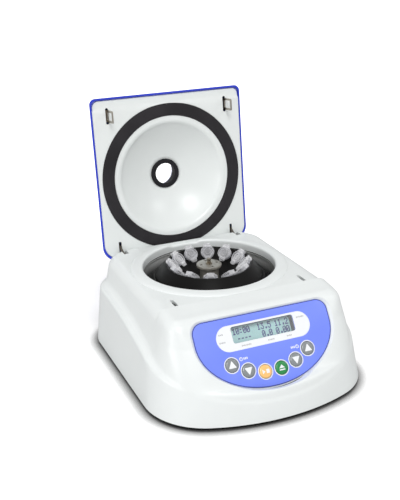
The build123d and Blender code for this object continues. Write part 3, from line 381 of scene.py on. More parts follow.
def rounded(points: list, radii: list, steps: int = 5) -> list:
    """Round the corners of a closed outline or section.

    Args:
        points: Corners as (a, b) pairs.
        radii: One radius for each corner, zero to keep it sharp.
        steps: Pieces in each arc.

    Returns:
        The corners of the rounded outline.
    """
    made = []
    count = len(points)
    for i, (corner, radius) in enumerate(zip(points, radii)):
        p = np.array(corner, float)
        if radius <= 0:
            made.append(tuple(p))
            continue
        back = np.array(points[i - 1], float) - p
        ahead = np.array(points[(i + 1) % count], float) - p
        back /= np.linalg.norm(back)
        ahead /= np.linalg.norm(ahead)
        half = math.acos(max(-1.0, min(1.0, float(back @ ahead)))) / 2.0
        reach = radius / math.tan(half)
        middle = back + ahead
        middle /= np.linalg.norm(middle)
        centre = p + middle * radius / math.sin(half)
        start, end = p + back * reach - centre, p + ahead * reach - centre
        sweep = math.pi - 2.0 * half
        side = np.cross(np.append(start, 0), np.append(end, 0))[2]
        for step in range(steps + 1):
            angle = sweep * step / steps * (1 if side > 0 else -1)
            c, s = math.cos(angle), math.sin(angle)
            made.append(tuple(centre + np.array([c * start[0] - s * start[1], s * start[0] + c * start[1]])))
    return made


def plate(name: str, outline: list, low: float, high: float, finish: Finish, bevel: float = 0.0,
          holes: tuple = ()) -> bpy.types.Object:
    """A flat plate with a crisp or bevelled top, from outlines in its own plane.

    Args:
        name: Object name.
        outline: Corners of the outline, anticlockwise, in millimetres.
        low: Height of the underside.
        high: Height of the top.
        finish: What the piece is finished in.
        bevel: Width of the bevel along the top edges.
        holes: Outlines of the holes.

    Returns:
        The plate, still in its own plane.
    """
    form = bmesh.new()
    edges = []
    for loop in (outline, *holes):
        corners = [form.verts.new((x * MM, y * MM, low * MM)) for x, y in loop]
        edges += [form.edges.new((corners[i], corners[(i + 1) % len(corners)])) for i in range(len(corners))]
    bmesh.ops.triangle_fill(form, edges=edges, use_beauty=True, use_dissolve=False)
    base = list(form.faces)
    raised = bmesh.ops.extrude_face_region(form, geom=base)
    top = [item for item in raised["geom"] if isinstance(item, bmesh.types.BMVert)]
    bmesh.ops.translate(form, verts=top, vec=(0.0, 0.0, (high - low) * MM))
    bmesh.ops.recalc_face_normals(form, faces=form.faces)
    mesh = bpy.data.meshes.new(name)
    form.to_mesh(mesh)
    form.free()
    mesh.materials.append(finish.build())
    piece = add_object(name, mesh)
    if bevel > 0:
        edge = piece.modifiers.new("edge", "BEVEL")
        edge.width = bevel * MM
        edge.segments = 3
        edge.limit_method = "ANGLE"
        edge.angle_limit = math.radians(50.0)
        apply_modifiers(piece)
    piece.data.shade_smooth()
    piece.data.set_sharp_from_angle(angle=math.radians(30.0))
    return piece


def circle(radius: float, centre: tuple = (0.0, 0.0), steps: int = 48) -> list:
    """Corners of a circle, anticlockwise."""
    turn = [2.0 * math.pi * i / steps for i in range(steps)]
    return [(centre[0] + radius * math.cos(a), centre[1] + radius * math.sin(a)) for a in turn]


def oblong(left: float, low: float, right: float, high: float) -> list:
    """Corners of a rectangle, anticlockwise from its lower left."""
    return [(left, low), (right, low), (right, high), (left, high)]


def settle(piece: bpy.types.Object, place: Matrix) -> bpy.types.Object:
    """Put a piece where it belongs by moving its mesh, so that its object stays at the origin.

    Args:
        piece: The piece.
        place: What moves it there.

    Returns:
        The same piece.
    """
    piece.data.transform(place)
    if place.determinant() < 0:
        piece.data.flip_normals()
    return piece


def panel_place() -> Matrix:
    """Find the panel's own plane.

    Returns:
        Where it lies: X to the right, Y up the slope, Z out of the face.
    """
    up = Vector((0.0, math.cos(PANEL_TILT), math.sin(PANEL_TILT)))
    out = Vector((0.0, -math.sin(PANEL_TILT), math.cos(PANEL_TILT)))
    turn = Matrix((Vector((1.0, 0.0, 0.0)), up, out)).transposed().to_4x4()
    return Matrix.Translation((0.0, PANEL_Y * MM, PANEL_Z * MM)) @ turn


def open_place() -> Matrix:
    """Where the open lid holds what is drawn with the lid shut."""
    hinge = Matrix.Translation((0.0, HINGE_Y * MM, HINGE_Z * MM))
    return hinge @ Matrix.Rotation(-OPEN_ANGLE, 4, "X") @ hinge.inverted()


def fit(piece: bpy.types.Object, body: str, stands_for: tuple = ()) -> bpy.types.Object:
    """Ride a finished piece on its body, and hide the CAD nodes that it stands for.

    Args:
        piece: The piece, drawn about the middle of the machine's body.
        body: Name of the body that it moves with.
        stands_for: Names of the CAD nodes that it replaces.

    Returns:
        The same piece, where the frame has it.
    """
    piece.data.transform(Matrix.Translation((0.0, SHIFT, 0.0)))
    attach(piece, body)
    if stands_for:
        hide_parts(*stands_for)
    log.info("%s rides on %s, %d faces", piece.name, body, len(piece.data.polygons))
    return piece


def carve(piece: bpy.types.Object, tools: list) -> bpy.types.Object:
    """Take closed tools that don't touch each other out of a closed piece.

    Args:
        piece: The piece, changed in place.
        tools: The tools, which are gone afterwards.

    Returns:
        The same piece.
    """
    cutter = join(f"{piece.name}_tools", tools) if len(tools) > 1 else tools[0]
    cut = piece.modifiers.new("cut", "BOOLEAN")
    cut.operation, cut.solver, cut.object = "DIFFERENCE", "EXACT", cutter
    apply_modifiers(piece)
    bpy.data.objects.remove(cutter)
    return piece


def dress(piece: bpy.types.Object, finish: Finish, sharp: float) -> bpy.types.Object:
    """Give a carved piece one finish, and keep its steeper edges crisp.

    Args:
        piece: The piece, changed in place.
        finish: Its finish.
        sharp: Angle in degrees above which an edge stays crisp.

    Returns:
        The same piece.
    """
    piece.data.materials.clear()
    piece.data.materials.append(finish.build())
    piece.data.shade_smooth()
    piece.data.set_sharp_from_angle(angle=math.radians(sharp))
    return piece


def join(name: str, parts: list) -> bpy.types.Object:
    """Join loose mesh pieces that share a body into one.

    Args:
        name: Name of the new piece.
        parts: The pieces, which are gone afterwards.

    Returns:
        The new piece, with every part's finish.
    """
    form = bmesh.new()
    mesh = bpy.data.meshes.new(name)
    for part in parts:
        slots = []
        for material in part.data.materials:
            if material.name not in mesh.materials:
                mesh.materials.append(material)
            slots.append(mesh.materials.find(material.name))
        first = len(form.faces)
        form.from_mesh(part.data)
        form.faces.ensure_lookup_table()
        for face in form.faces[first:]:
            face.material_index = slots[face.material_index] if slots else 0
    form.to_mesh(mesh)
    form.free()
    for part in parts:
        bpy.data.objects.remove(part)
    return add_object(name, mesh)


def start_group(name: str, inputs: dict) -> tuple:
    """Start a geometry node group that takes a mesh and some values.

    Args:
        name: Name of the group.
        inputs: Types of the values' sockets, by name.

    Returns:
        The tree, and the identifiers of those sockets, by name.
    """
    tree = bpy.data.node_groups.new(name, "GeometryNodeTree")
    tree.interface.new_socket("Geometry", in_out="INPUT", socket_type="NodeSocketGeometry")
    marks = {title: tree.interface.new_socket(title, in_out="INPUT", socket_type=kind).identifier
             for title, kind in inputs.items()}
    tree.interface.new_socket("Geometry", in_out="OUTPUT", socket_type="NodeSocketGeometry")
    return tree, marks


def run_group(piece: bpy.types.Object, tree: bpy.types.NodeTree, values: dict) -> bpy.types.Object:
    """Run a geometry node group on a piece, and keep plain mesh.

    Args:
        piece: The piece, changed in place.
        tree: The node group.
        values: Values by the identifiers of their sockets.

    Returns:
        The same piece.
    """
    modifier = piece.modifiers.new(tree.name, "NODES")
    modifier.node_group = tree
    for mark, value in values.items():
        modifier[mark] = value
    return apply_modifiers(piece)


# ---------------------------------------------------------------- smooth fields


def round_over(a: np.ndarray, b: np.ndarray, radius: float | np.ndarray) -> np.ndarray:
    """Field of what lies in both forms, with a rounded edge of that radius."""
    inner = np.minimum(-radius, np.maximum(a, b))
    return inner + np.hypot(np.maximum(a + radius, 0.0), np.maximum(b + radius, 0.0))


def blend_into(a: np.ndarray, b: np.ndarray, radius: float | np.ndarray) -> np.ndarray:
    """Field of either form, with a hollow fillet of that radius where they meet."""
    outer = np.maximum(radius, np.minimum(a, b))
    return outer - np.hypot(np.maximum(radius - a, 0.0), np.maximum(radius - b, 0.0))


def ease(share: np.ndarray) -> np.ndarray:
    """A share from 0 to 1 that starts and ends level."""
    return share * share * (3.0 - 2.0 * share)


def round_corner(x: np.ndarray, y: np.ndarray, radius: float | np.ndarray) -> np.ndarray:
    """Distance outside a quarter whose corner is rounded about the origin."""
    return np.hypot(np.maximum(x, 0), np.maximum(y, 0)) + np.minimum(np.maximum(x, y), 0) - radius


def halve(inside: Callable[[np.ndarray], np.ndarray], low: np.ndarray, high: np.ndarray, steps: int) -> np.ndarray:
    """Find where a form ends between two sets of places, by halving the gap.

    Args:
        inside: Tells of each place whether it lies in the form.
        low: Places in the form.
        high: Places outside it.
        steps: How often the gap is halved.

    Returns:
        Where the form ends.
    """
    for _ in range(steps):
        middle = (low + high) / 2.0
        within = inside(middle)
        low, high = np.where(within, middle, low), np.where(within, high, middle)
    return (low + high) / 2.0


def ring_at(angle: np.ndarray, radius: float | np.ndarray, z: float | np.ndarray) -> np.ndarray:
    """One ring of points about the well's axis, one for each angle."""
    return np.stack([radius * np.cos(angle), AXIS_Y + radius * np.sin(angle), z * np.ones_like(angle)], axis=1)


def even_rings(angle: np.ndarray, radius: np.ndarray, z: np.ndarray, rows: int) -> np.ndarray:
    """Share out rings evenly along a surface that falls away from the well's axis.

    Args:
        angle: Direction of each column.
        radius: Radii of the surface's points, one column of the array for each direction.
        z: Heights of the same points.
        rows: Number of rings.

    Returns:
        Array of rings by columns by three, in millimetres.
    """
    step = np.hypot(np.diff(radius, axis=0), np.diff(z, axis=0))
    along = np.concatenate([np.zeros((1, step.shape[1])), np.cumsum(step, axis=0)])
    cos, sin = np.cos(angle), np.sin(angle)
    rings = np.zeros((rows, len(angle), 3))
    for column in range(len(angle)):
        wanted = np.linspace(0.0, along[-1, column], rows)
        r = np.interp(wanted, along[:, column], radius[:, column])
        rings[:, column, 0] = r * cos[column]
        rings[:, column, 1] = AXIS_Y + r * sin[column]
        rings[:, column, 2] = np.interp(wanted, along[:, column], z[:, column])
    return rings


# ---------------------------------------------------------------- casing


@dataclass
class Casing:
    """The white moulded casing, solved as one smooth field and cut open where the real one is.

    Lengths are in millimetres. The deck, the console behind it, the panel's slope, the apron under the panel and the
    flared skirt are forms that run into each other, with the edges and fillets given here.
    """

    half: float = 100.0
    front: float = -121.0
    rear: float = 119.0
    base_z: float = 3.5
    bow: float = 180.0
    corner: float = 57.0
    back_corner: float = 45.0
    lean: float = math.tan(math.radians(14.0))
    rear_lean: float = math.tan(math.radians(5.8))
    shoulder: float = 8.0
    wall: float = 3.0
    front_wall: float = 5.0
    step_y: float = -43.5
    console_z: float = 84.5
    console_slope: float = math.radians(8.0)
    panel_sink: float = 2.0
    apron_y: float = -108.0
    apron_slope: float = math.radians(20.0)
    skirt_lean: float = math.tan(math.radians(6.7))
    skirt_proud: float = 0.3
    skirt_back: float = 0.6
    skirt_edge: float = 2.2
    skirt_fillet: float = 5.0
    step_edge: float = 0.7
    step_fillet: float = 0.5
    apron_fillet: float = 9.0
    inner_fillet: float = 2.0
    swell: float = 1.2
    swell_over: float = 56.5
    waist_y: float = 20.0
    above_z: float = 95.0
    # Places from front to back and the height of the skirt's top edge there
    crest: tuple = ((-127.0, 24.0), (-75.0, 39.0), (-30.0, 48.0), (8.0, 54.6), (60.0, 57.4), (131.0, 56.6))
    # Heights and how far the front's side edges are rounded there
    front_edge: tuple = ((16.0, 3.5), (34.0, 8.0), (62.0, 13.0), (73.0, 9.0), (79.0, 5.5))
    well: float = 62.4
    lip: float = 74.0
    lip_rise: float = 2.0
    lip_round: float = 2.2
    lip_flat: float = 97.0
    collar_z: float = 76.0
    collar: float = 66.0
    turns: int = 384
    columns: np.ndarray = field(init=False)

    def __post_init__(self) -> None:
        """Space the columns evenly round the well."""
        self.columns = np.linspace(0.0, 2.0 * math.pi, self.turns, endpoint=False)

    def outline(self, x: np.ndarray, y: np.ndarray, up: np.ndarray, proud: float, lean: float, front_in: float,
                rear_out: np.ndarray) -> np.ndarray:
        """Find how far places are from the plan outline at a height: a bowed front, round corners, a square back.

        Args:
            x: Sideways places.
            y: Places from front to back.
            up: Height above the base.
            proud: How far the outline stands out at the sides.
            lean: How fast the sides lean in.
            front_in: How far the front stands back.
            rear_out: How far the rear stands out.

        Returns:
            Signed distances, negative inside.
        """
        x = np.abs(x)
        half = self.half + proud - up * lean
        front = self.front + front_in + up * self.lean
        bow = self.bow - up * self.lean
        corner = self.corner - up * lean
        corner_x = half - corner
        corner_y = front + bow - np.sqrt(np.maximum((bow - corner) ** 2 - corner_x**2, 1.0))
        bow_y = front + bow
        beside = x - half
        in_wedge = x * (bow_y - corner_y) < (bow_y - y) * corner_x
        round_front = np.where(in_wedge, np.hypot(x, y - bow_y) - bow, np.hypot(x - corner_x, y - corner_y) - corner)
        ahead = np.where(y < corner_y, round_front, beside)
        rear = self.rear - up * self.rear_lean + rear_out
        back_round = self.back_corner - up * lean
        behind = round_corner(x - (half - back_round), y - (rear - back_round), back_round)
        return np.where(y > self.waist_y, behind, ahead)

    def crest_z(self, y: np.ndarray) -> np.ndarray:
        """Find the height of the skirt's falling top edge.

        Args:
            y: Places from front to back.

        Returns:
            The heights there, on one smooth curve.
        """
        ys, zs = zip(*self.crest)
        knots = np.linspace(ys[0], ys[-1], 60)
        smooth = np.polyval(np.polyfit(ys, zs, 4), knots)
        return np.interp(y, knots, smooth)

    def field(self, x: np.ndarray, y: np.ndarray, z: np.ndarray, inset: float = 0.0) -> np.ndarray:
        """Find how far places are from the whole outer form.

        Args:
            x: Sideways places.
            y: Places from front to back.
            z: Heights.
            inset: How far the form is moved inwards.

        Returns:
            Distances, negative inside, that are true near the surface.
        """
        up = z - self.base_z
        side = self.outline(x, y, up, -inset, self.lean, inset, -inset) * math.cos(math.atan(self.lean))
        deck = round_over(side, z - DECK_Z + inset, self.shoulder)
        rise = (y - self.step_y) * math.tan(self.console_slope)
        top = (z - self.console_z + inset - rise) * math.cos(self.console_slope)
        console = round_over(round_over(side, top, self.shoulder - 1.0), y - self.step_y - inset, self.step_edge)
        body = blend_into(deck, console, self.step_fillet)
        sin, cos = math.sin(PANEL_TILT), math.cos(PANEL_TILT)
        deep = inset * self.front_wall / self.wall
        face = -(y - PANEL_Y) * sin + (z - PANEL_Z) * cos - self.panel_sink + deep
        apron_z = PANEL_Z + (self.apron_y - PANEL_Y) * math.tan(PANEL_TILT) + self.panel_sink / cos
        apron = (z - apron_z - (y - self.apron_y) * math.tan(self.apron_slope)) * math.cos(self.apron_slope) + deep
        front = blend_into(face, apron, self.apron_fillet if inset == 0.0 else self.inner_fillet)
        body = round_over(body, front, np.interp(z, *zip(*self.front_edge)))
        rear_out = self.swell * up / self.swell_over - inset
        flare = self.outline(x, y, up, self.skirt_proud - inset, self.skirt_lean, self.skirt_back + inset, rear_out)
        # The crest's slope makes heights a little longer than distances, so they are taken down to 0.9
        skirt = round_over(flare, (z - self.crest_z(y) + inset) * 0.9, self.skirt_edge)
        return blend_into(body, skirt, np.clip(np.abs(side - flare) * 0.9, 0.05, self.skirt_fillet))

    def heights(self, x: np.ndarray, y: np.ndarray, inset: float = 0.0) -> np.ndarray:
        """Find the height of the surface over each plan point.

        Args:
            x: Sideways places.
            y: Places from front to back.
            inset: How far the surface is moved inwards.

        Returns:
            The heights.
        """
        low, high = np.full_like(x, self.base_z - 2.0), np.full_like(x, self.above_z)
        return halve(lambda z: self.field(x, y, z, inset) < 0.0, low, high, 24)

    def reach(self, angle: np.ndarray, inset: float = 0.0) -> np.ndarray:
        """Find how far the base outline is from the well's axis.

        Args:
            angle: Direction of each column.
            inset: How far the outline is moved inwards.

        Returns:
            The radius on each column.
        """

        def inside(r: np.ndarray) -> np.ndarray:
            """Whether places at these radii lie in the form."""
            x, y = r * np.cos(angle), AXIS_Y + r * np.sin(angle)
            return self.field(x, y, np.full_like(x, self.base_z), inset) < 0.0

        return halve(inside, np.full_like(angle, 60.0), np.full_like(angle, 200.0), 26)

    def run(self, start: np.ndarray, end: np.ndarray, rows: int, inset: float = 0.0,
            lands: bool = True) -> np.ndarray:
        """Points down the surface between two radii on every column, evenly spaced along it.

        Args:
            start: Radius where each column starts.
            end: Radius where each column ends.
            rows: Number of rings, both ends included.
            inset: How far the surface is moved inwards.
            lands: Whether the last ring lies on the base plane.

        Returns:
            Array of rings by columns by three, in millimetres.
        """
        samples, crowding = 420, 1.35
        share = 1.0 - (1.0 - np.linspace(0.0, 1.0, samples)) ** crowding
        radius = start[None, :] + (end - start)[None, :] * share[:, None]
        cos, sin = np.cos(self.columns)[None, :], np.sin(self.columns)[None, :]
        x, y = radius * cos, AXIS_Y + radius * sin
        z = self.heights(x, y, inset)
        if lands:
            z[-1] = self.base_z
        return even_rings(self.columns, radius, z, rows)

    def settle_on(self, rings: np.ndarray, inset: float = 0.0) -> np.ndarray:
        """Pull points onto the true surface along its slope.

        Args:
            rings: Array of points, the last axis of three.
            inset: How far the surface is moved inwards.

        Returns:
            The moved points, in an array of the same form.
        """
        small, most, flattest = 0.02, 0.3, 0.2
        for _ in range(3):
            x, y, z = rings[..., 0], rings[..., 1], rings[..., 2]
            here = self.field(x, y, z, inset)
            beside = (self.field(x + small, y, z, inset), self.field(x, y + small, z, inset),
                      self.field(x, y, z + small, inset))
            slope = np.stack([(there - here) / small for there in beside], axis=-1)
            size = np.maximum((slope**2).sum(axis=-1), flattest)
            move = np.clip(here / size, -most, most)
            rings = rings - move[..., None] * slope
        return rings

    def lip_lift(self, rings: np.ndarray) -> np.ndarray:
        """Raise the lip round the well, cut off straight at the back.

        Args:
            rings: Array of points, the last axis of three.

        Returns:
            The raised points, in an array of the same form.
        """
        flat_to, fall, ramp = 66.0, 2.2, 1.6
        radius = np.hypot(rings[..., 0], rings[..., 1] - AXIS_Y)
        share = np.clip((radius - flat_to) / (self.lip - flat_to), 0.0, 1.0)
        share = np.sqrt(1.0 - share**fall)
        back = np.clip((self.lip_flat - rings[..., 1]) / ramp, 0.0, 1.0)
        lifted = rings.copy()
        lifted[..., 2] += self.lip_rise * share * ease(back)
        return lifted

    def rings(self) -> np.ndarray:
        """Draw the closed shell.

        Returns:
            Every ring, from the collar's foot up the well, over the deck, down the outside and back under it.
        """
        angle, ones = self.columns, np.ones(self.turns)
        base, sin = self.reach(angle), np.sin(angle)
        # The deck's rings end at the step, where a column meets it, or else on the shoulder. The two limits run into
        # each other softly, because a kink in the rings would show as a streak down the side
        step = np.where(sin < -0.05, (self.step_y - AXIS_Y) / np.minimum(sin, -0.05), 1e3) - 0.35
        shoulder, soft = base - 21.0, 2.5
        near = np.exp(-np.abs(step - shoulder) / soft)
        split = np.clip(np.minimum(step, shoulder) - soft * np.log1p(near), self.lip + 3.0, None)
        lip_radii = (self.well + self.lip_round, 65.4, 66.4, 67.4, 68.4, 69.4, 70.3, 71.1, 71.8, 72.4, 72.9, 73.3,
                     73.6, 73.8, 73.92, self.lip)
        flat = np.stack([ring_at(angle, r, DECK_Z) for r in lip_radii])
        flat[..., 2] = self.heights(flat[..., 0], flat[..., 1])
        deck = self.run(self.lip * ones, split, 14, lands=False)[1:]
        outside = self.run(split, base, 116)[1:]
        outer = self.settle_on(np.concatenate([deck, outside[:-1]]))
        skin = self.lip_lift(np.concatenate([flat, outer, outside[-1:]]))
        arc = []
        for a in np.radians(np.linspace(0.0, 80.0, 6)):
            r = self.well + self.lip_round * (1.0 - math.cos(a))
            arc.append(ring_at(angle, r, skin[0, :, 2] - self.lip_round * (1.0 - math.sin(a))))
        foot = ((self.collar, self.collar_z), (self.well, self.collar_z), (self.well, 79.0))
        down = [ring_at(angle, r, z) for r, z in foot]
        under = self.run(self.collar * ones, self.reach(angle, self.wall), 30, self.wall)[::-1]
        under[0, :, 2] = self.base_z
        return np.concatenate([np.stack(down), np.stack(arc), skin, under])

    def pocket(self) -> list:
        """Draw what cuts the sunk panel's pocket.

        Returns:
            One tool, straight up to the face and widening above it, so that it leaves a bevel all round.
        """
        film = Film()
        pocket, top = film.outline(film.gap), 12.0
        flare = film.outline(film.gap + 13.0, film.gap + 3.4)
        count = len(pocket)
        points = [(x, y, -film.thick) for x, y in pocket] + [(x, y, 0.0) for x, y in pocket]
        points += [(x, y, top) for x, y in flare]
        faces = [tuple(range(count))[::-1], tuple(range(2 * count, 3 * count))]
        for ring in (0, count):
            for i in range(count):
                j = (i + 1) % count
                faces.append((ring + i, ring + j, ring + count + j, ring + count + i))
        return [settle(tidy(make_piece("cut_pocket", np.array(points), faces, Shop.casing)), film.place)]

    def openings(self) -> list:
        """Draw what cuts the other openings: display, keys, latch and arm slots, vents, socket and switch.

        Returns:
            The tools.
        """
        film = Film()
        holes = film.openings(1.05, 6.0)
        made = [settle(plate("cut_film", hole, -9.0, 1.0, Shop.casing), film.place) for hole in holes]
        slot = rounded(oblong(-1.7, -7.0, 1.7, 7.0), [1.6] * 4, 6)
        arm = rounded(oblong(-2.5, 95.0, 2.5, 130.0), [1.0, 1.0, 0, 0], 4)
        for side in (-1, 1):
            spot = Matrix.Translation((side * LATCH_X * MM, LATCH_Y * MM, 0.0))
            made.append(settle(plate("cut_slot", slot, 76.0, 90.0, Shop.casing), spot))
            spot = Matrix.Translation((side * ARM_X * MM, 0.0, 0.0))
            made.append(settle(plate("cut_arm", arm, 70.0, 95.0, Shop.casing), spot))
        return made + RearWall().cutters()

    def build(self) -> None:
        """Build the casing, cut its openings and fit it."""
        rings = self.rings()
        points = rings.reshape(-1, 3)
        piece = make_piece("casing", points, grid_faces(len(rings), self.turns, True), Shop.casing, 40.0)
        tidy(piece)
        for tools in (self.pocket(), self.openings()):
            carve(piece, tools)
        dress(piece, Shop.casing, 28.0)
        fit(piece, "housing", ("housing_shell",))


# ---------------------------------------------------------------- control panel


@dataclass
class Film:
    """The printed control film, with its display, keys and legends."""

    half: float = 63.0
    top: float = 26.5
    middle: float = 8.0
    drop: float = 45.0
    corner: float = 10.0
    thick: float = 0.8
    gap: float = 0.3
    lcd_half: float = 29.0
    lcd_low: float = 4.0
    lcd_high: float = 18.0
    pill_half: float = 43.5
    pill_low: float = -2.0
    pill_high: float = 19.7
    key: float = 5.7
    keys: dict = field(
        default_factory=lambda: {
            "time_up": (-35.3, -12.8),
            "time_down": (-22.1, -19.9),
            "run_stop": (-7.5, -23.7),
            "open": (7.5, -23.7),
            "speed_down": (22.1, -19.9),
            "speed_up": (35.3, -12.8),
        }
    )
    place: Matrix = field(default_factory=panel_place)

    def outline(self, grow: float, below: float = -1.0) -> list:
        """The film's outline, grown outwards: straight top, round corners, half an ellipse below.

        Args:
            grow: How far it grows at the top and the sides.
            below: How far it grows at the very bottom, or less than zero for the same.

        Returns:
            Corners, anticlockwise, in millimetres.
        """
        half, top, corner = self.half + grow, self.top + grow, self.corner + grow
        deep = self.drop + (grow if below < 0.0 else below)
        made = []
        for step in range(13):
            a = math.radians(90.0 * step / 12)
            made.append((half - corner + corner * math.cos(a), top - corner + corner * math.sin(a)))
        for step in range(13):
            a = math.radians(90.0 + 90.0 * step / 12)
            made.append((-half + corner + corner * math.cos(a), top - corner + corner * math.sin(a)))
        for step in range(73):
            a = math.radians(180.0 + 180.0 * step / 72)
            made.append((half * math.cos(a), self.middle + deep * math.sin(a)))
        return made

    def display(self, grow: float) -> list:
        """The display opening's outline, grown outwards."""
        low, high, half = self.lcd_low - grow, self.lcd_high + grow, self.lcd_half + grow
        return rounded(oblong(-half, low, half, high), [2.0 + grow] * 4, 6)

    def openings(self, grow: float, radius: float) -> tuple:
        """Outlines of the display, grown, and of the keys' round holes."""
        return (self.display(grow), *(circle(radius, spot, 40) for spot in self.keys.values()))

    def lay(self, piece: bpy.types.Object, stands_for: tuple = ()) -> None:
        """Fit a piece of the housing that is drawn on the panel's plane."""
        fit(settle(piece, self.place), "housing", stands_for)

    def build(self) -> None:
        """Build the film and its seat, the painted shade along its edge, what is printed on it, the display and the
        keys.
        """
        film = plate("panel_film", self.outline(0.0), -self.thick, 0.0, Shop.film, 0.12,
                     self.openings(0.0, self.key + 0.3))
        self.lay(film, ("control_overlay",))
        # A thin dark band round the film's edge: painted shade where the pocket's wall shades the film
        edge = plate("film_edge_shade", self.outline(-0.12), 0.0, 0.03, Shop.film_edge_shade, 0.0, (self.outline(-0.72),))
        self.lay(edge)
        seat = plate("film_seat", self.outline(self.gap + 0.9), -self.thick - 1.2, -self.thick - 0.03, Shop.casing,
                     0.0, self.openings(1.1, 6.2))
        self.lay(seat)
        self.signs()
        self.surrounds()
        self.legends()
        self.screen()
        self.caps()

    def signs(self) -> None:
        """Print two small clocks between the keys, each with three bars beside it."""
        signs = []
        for x, y in ((-26.2, -9.4), (26.2, -9.4)):
            signs.append(plate("sign", circle(1.6, (x, y), 28), 0.0, 0.05, Shop.print_white, 0.0,
                               (circle(1.1, (x, y), 28),)))
            outlines = [oblong(x - 0.22, y - 0.3, x + 0.22, y + 1.12)]
            for step in (2.7, 4.1, 5.5):
                side = x + math.copysign(step, -x)
                outlines.append(oblong(side - 0.45, y - 0.9, side + 0.45, y + 0.9))
            signs += [plate("sign", outline, 0.0, 0.05, Shop.print_white) for outline in outlines]
        self.lay(join("film_signs", signs))

    def surrounds(self) -> None:
        """Print the white round the display and round each key."""
        pill_round = (self.pill_high - self.pill_low) / 2.0 - 0.01
        pill = rounded(oblong(-self.pill_half, self.pill_low, self.pill_half, self.pill_high), [pill_round] * 4, 14)
        white = plate("display_surround", pill, 0.0, 0.06, Shop.print_white, 0.0, (self.display(0.0),))
        self.lay(white)
        rings = [
            plate("ring", circle(self.key + 1.15, spot, 48), 0.0, 0.07, Shop.print_white, 0.0,
                  (circle(self.key + 0.35, spot, 48),))
            for spot in self.keys.values()
        ]
        self.lay(join("key_rings", rings))

    def legends(self) -> None:
        """Print small plain bars where the real film has tiny print."""
        marks = [
            (-38.5, 13.2, 4.2), (-38.5, 6.6, 5.6), (-18.0, 1.0, 9.0), (5.0, 1.0, 6.0), (22.0, 1.0, 5.0),
            (36.0, 14.6, 7.5),
        ]
        bars = []
        for x, y, length in marks:
            count = max(3, int(length / 1.1))
            for i in range(count):
                left = x - length / 2 + i * length / count
                tall = 0.45 if i % 2 else 0.62
                bar = oblong(left, y - tall, left + length / count * 0.62, y + tall)
                bars.append(plate("bar", bar, 0.06, 0.10, Shop.print_grey))
        self.lay(join("film_marks", bars))

    def screen(self) -> None:
        """Build the sunk display: a dark frame, a pale plate and rows of dots."""
        surround = plate("display_frame", self.display(1.0), -8.0, -self.thick - 0.02, Shop.black, 0.0,
                         (self.display(0.0),))
        self.lay(surround)
        self.lay(plate("display_plate", self.display(0.9), -8.3, -7.9, Shop.display))
        self.lay(Dots().build())

    def caps(self) -> None:
        """Build the six keys, each with a plain sign on it."""
        section = [(0.0, -3.9), (6.9, -3.9), (6.9, -3.2), (5.6, -3.2), (5.6, 0.25), (5.3, 0.62), (4.2, 0.78),
                   (2.4, 0.86), (0.0, 0.9)]
        styles = {"run_stop": (Shop.key_amber, "key_orange"), "open": (Shop.key_green, "key_green")}
        for name, (x, y) in self.keys.items():
            finish, slot = styles.get(name, (Shop.key_grey, "key_grey"))
            if name == "run_stop":
                signs = [[(x - 3.1, y - 1.9), (x - 0.5, y), (x - 3.1, y + 1.9)],
                         oblong(x + 0.5, y - 1.7, x + 3.3, y + 1.7)]
            elif name == "open":
                signs = [[(x - 2.6, y - 0.3), (x + 2.6, y - 0.3), (x, y + 2.6)],
                         oblong(x - 2.6, y - 2.2, x + 2.6, y - 1.2)]
            else:
                flip = 1 if name.endswith("up") else -1
                arrow = [(-3.5, -2.5 * flip), (3.5, -2.5 * flip), (0.0, 3.9 * flip)][::flip]
                signs = [rounded([(x + a, y + b) for a, b in arrow], [0.4] * 3, 3)]
            parts = [lathe(f"cap_{name}", section, finish, (x, y), 56, 50.0)]
            parts += [plate("sign", sign, 0.55, 0.98, Shop.print_white) for sign in signs]
            cap = settle(join(f"key_cap_{name}", parts), self.place)
            fit(cap, f"key_{name}", (f"key_{name}",))


# Strokes of the plain signs that the display shows, on a lattice of five columns by seven rows
STROKES = {
    "0": (((0, 1), (0, 5)), ((1, 0), (3, 0)), ((1, 6), (3, 6)), ((4, 1), (4, 5)), ((1, 2), (3, 4))),
    "1": (((2, 0), (2, 6)), ((1, 5), (1, 5)), ((1, 0), (3, 0))),
    "2": (((1, 6), (3, 6)), ((0, 5), (0, 5)), ((4, 4), (4, 5)), ((0, 0), (3, 3)), ((0, 0), (4, 0))),
    "3": (((0, 6), (4, 6)), ((3, 5), (2, 4)), ((3, 3), (3, 3)), ((4, 1), (4, 2)), ((1, 0), (3, 0)),
          ((0, 1), (0, 1))),
    "5": (((0, 6), (4, 6)), ((0, 4), (0, 5)), ((1, 4), (3, 4)), ((4, 1), (4, 3)), ((1, 0), (3, 0)),
          ((0, 1), (0, 1))),
    ".": (((2, 0), (2, 0)), ((3, 0), (3, 0)), ((2, 1), (2, 1)), ((3, 1), (3, 1))),
    ":": (((2, 1), (2, 1)), ((2, 4), (2, 4)), ((1, 1), (1, 1)), ((1, 4), (1, 4))),
    "-": (((1, 3), (3, 3)),),
    " ": (),
}


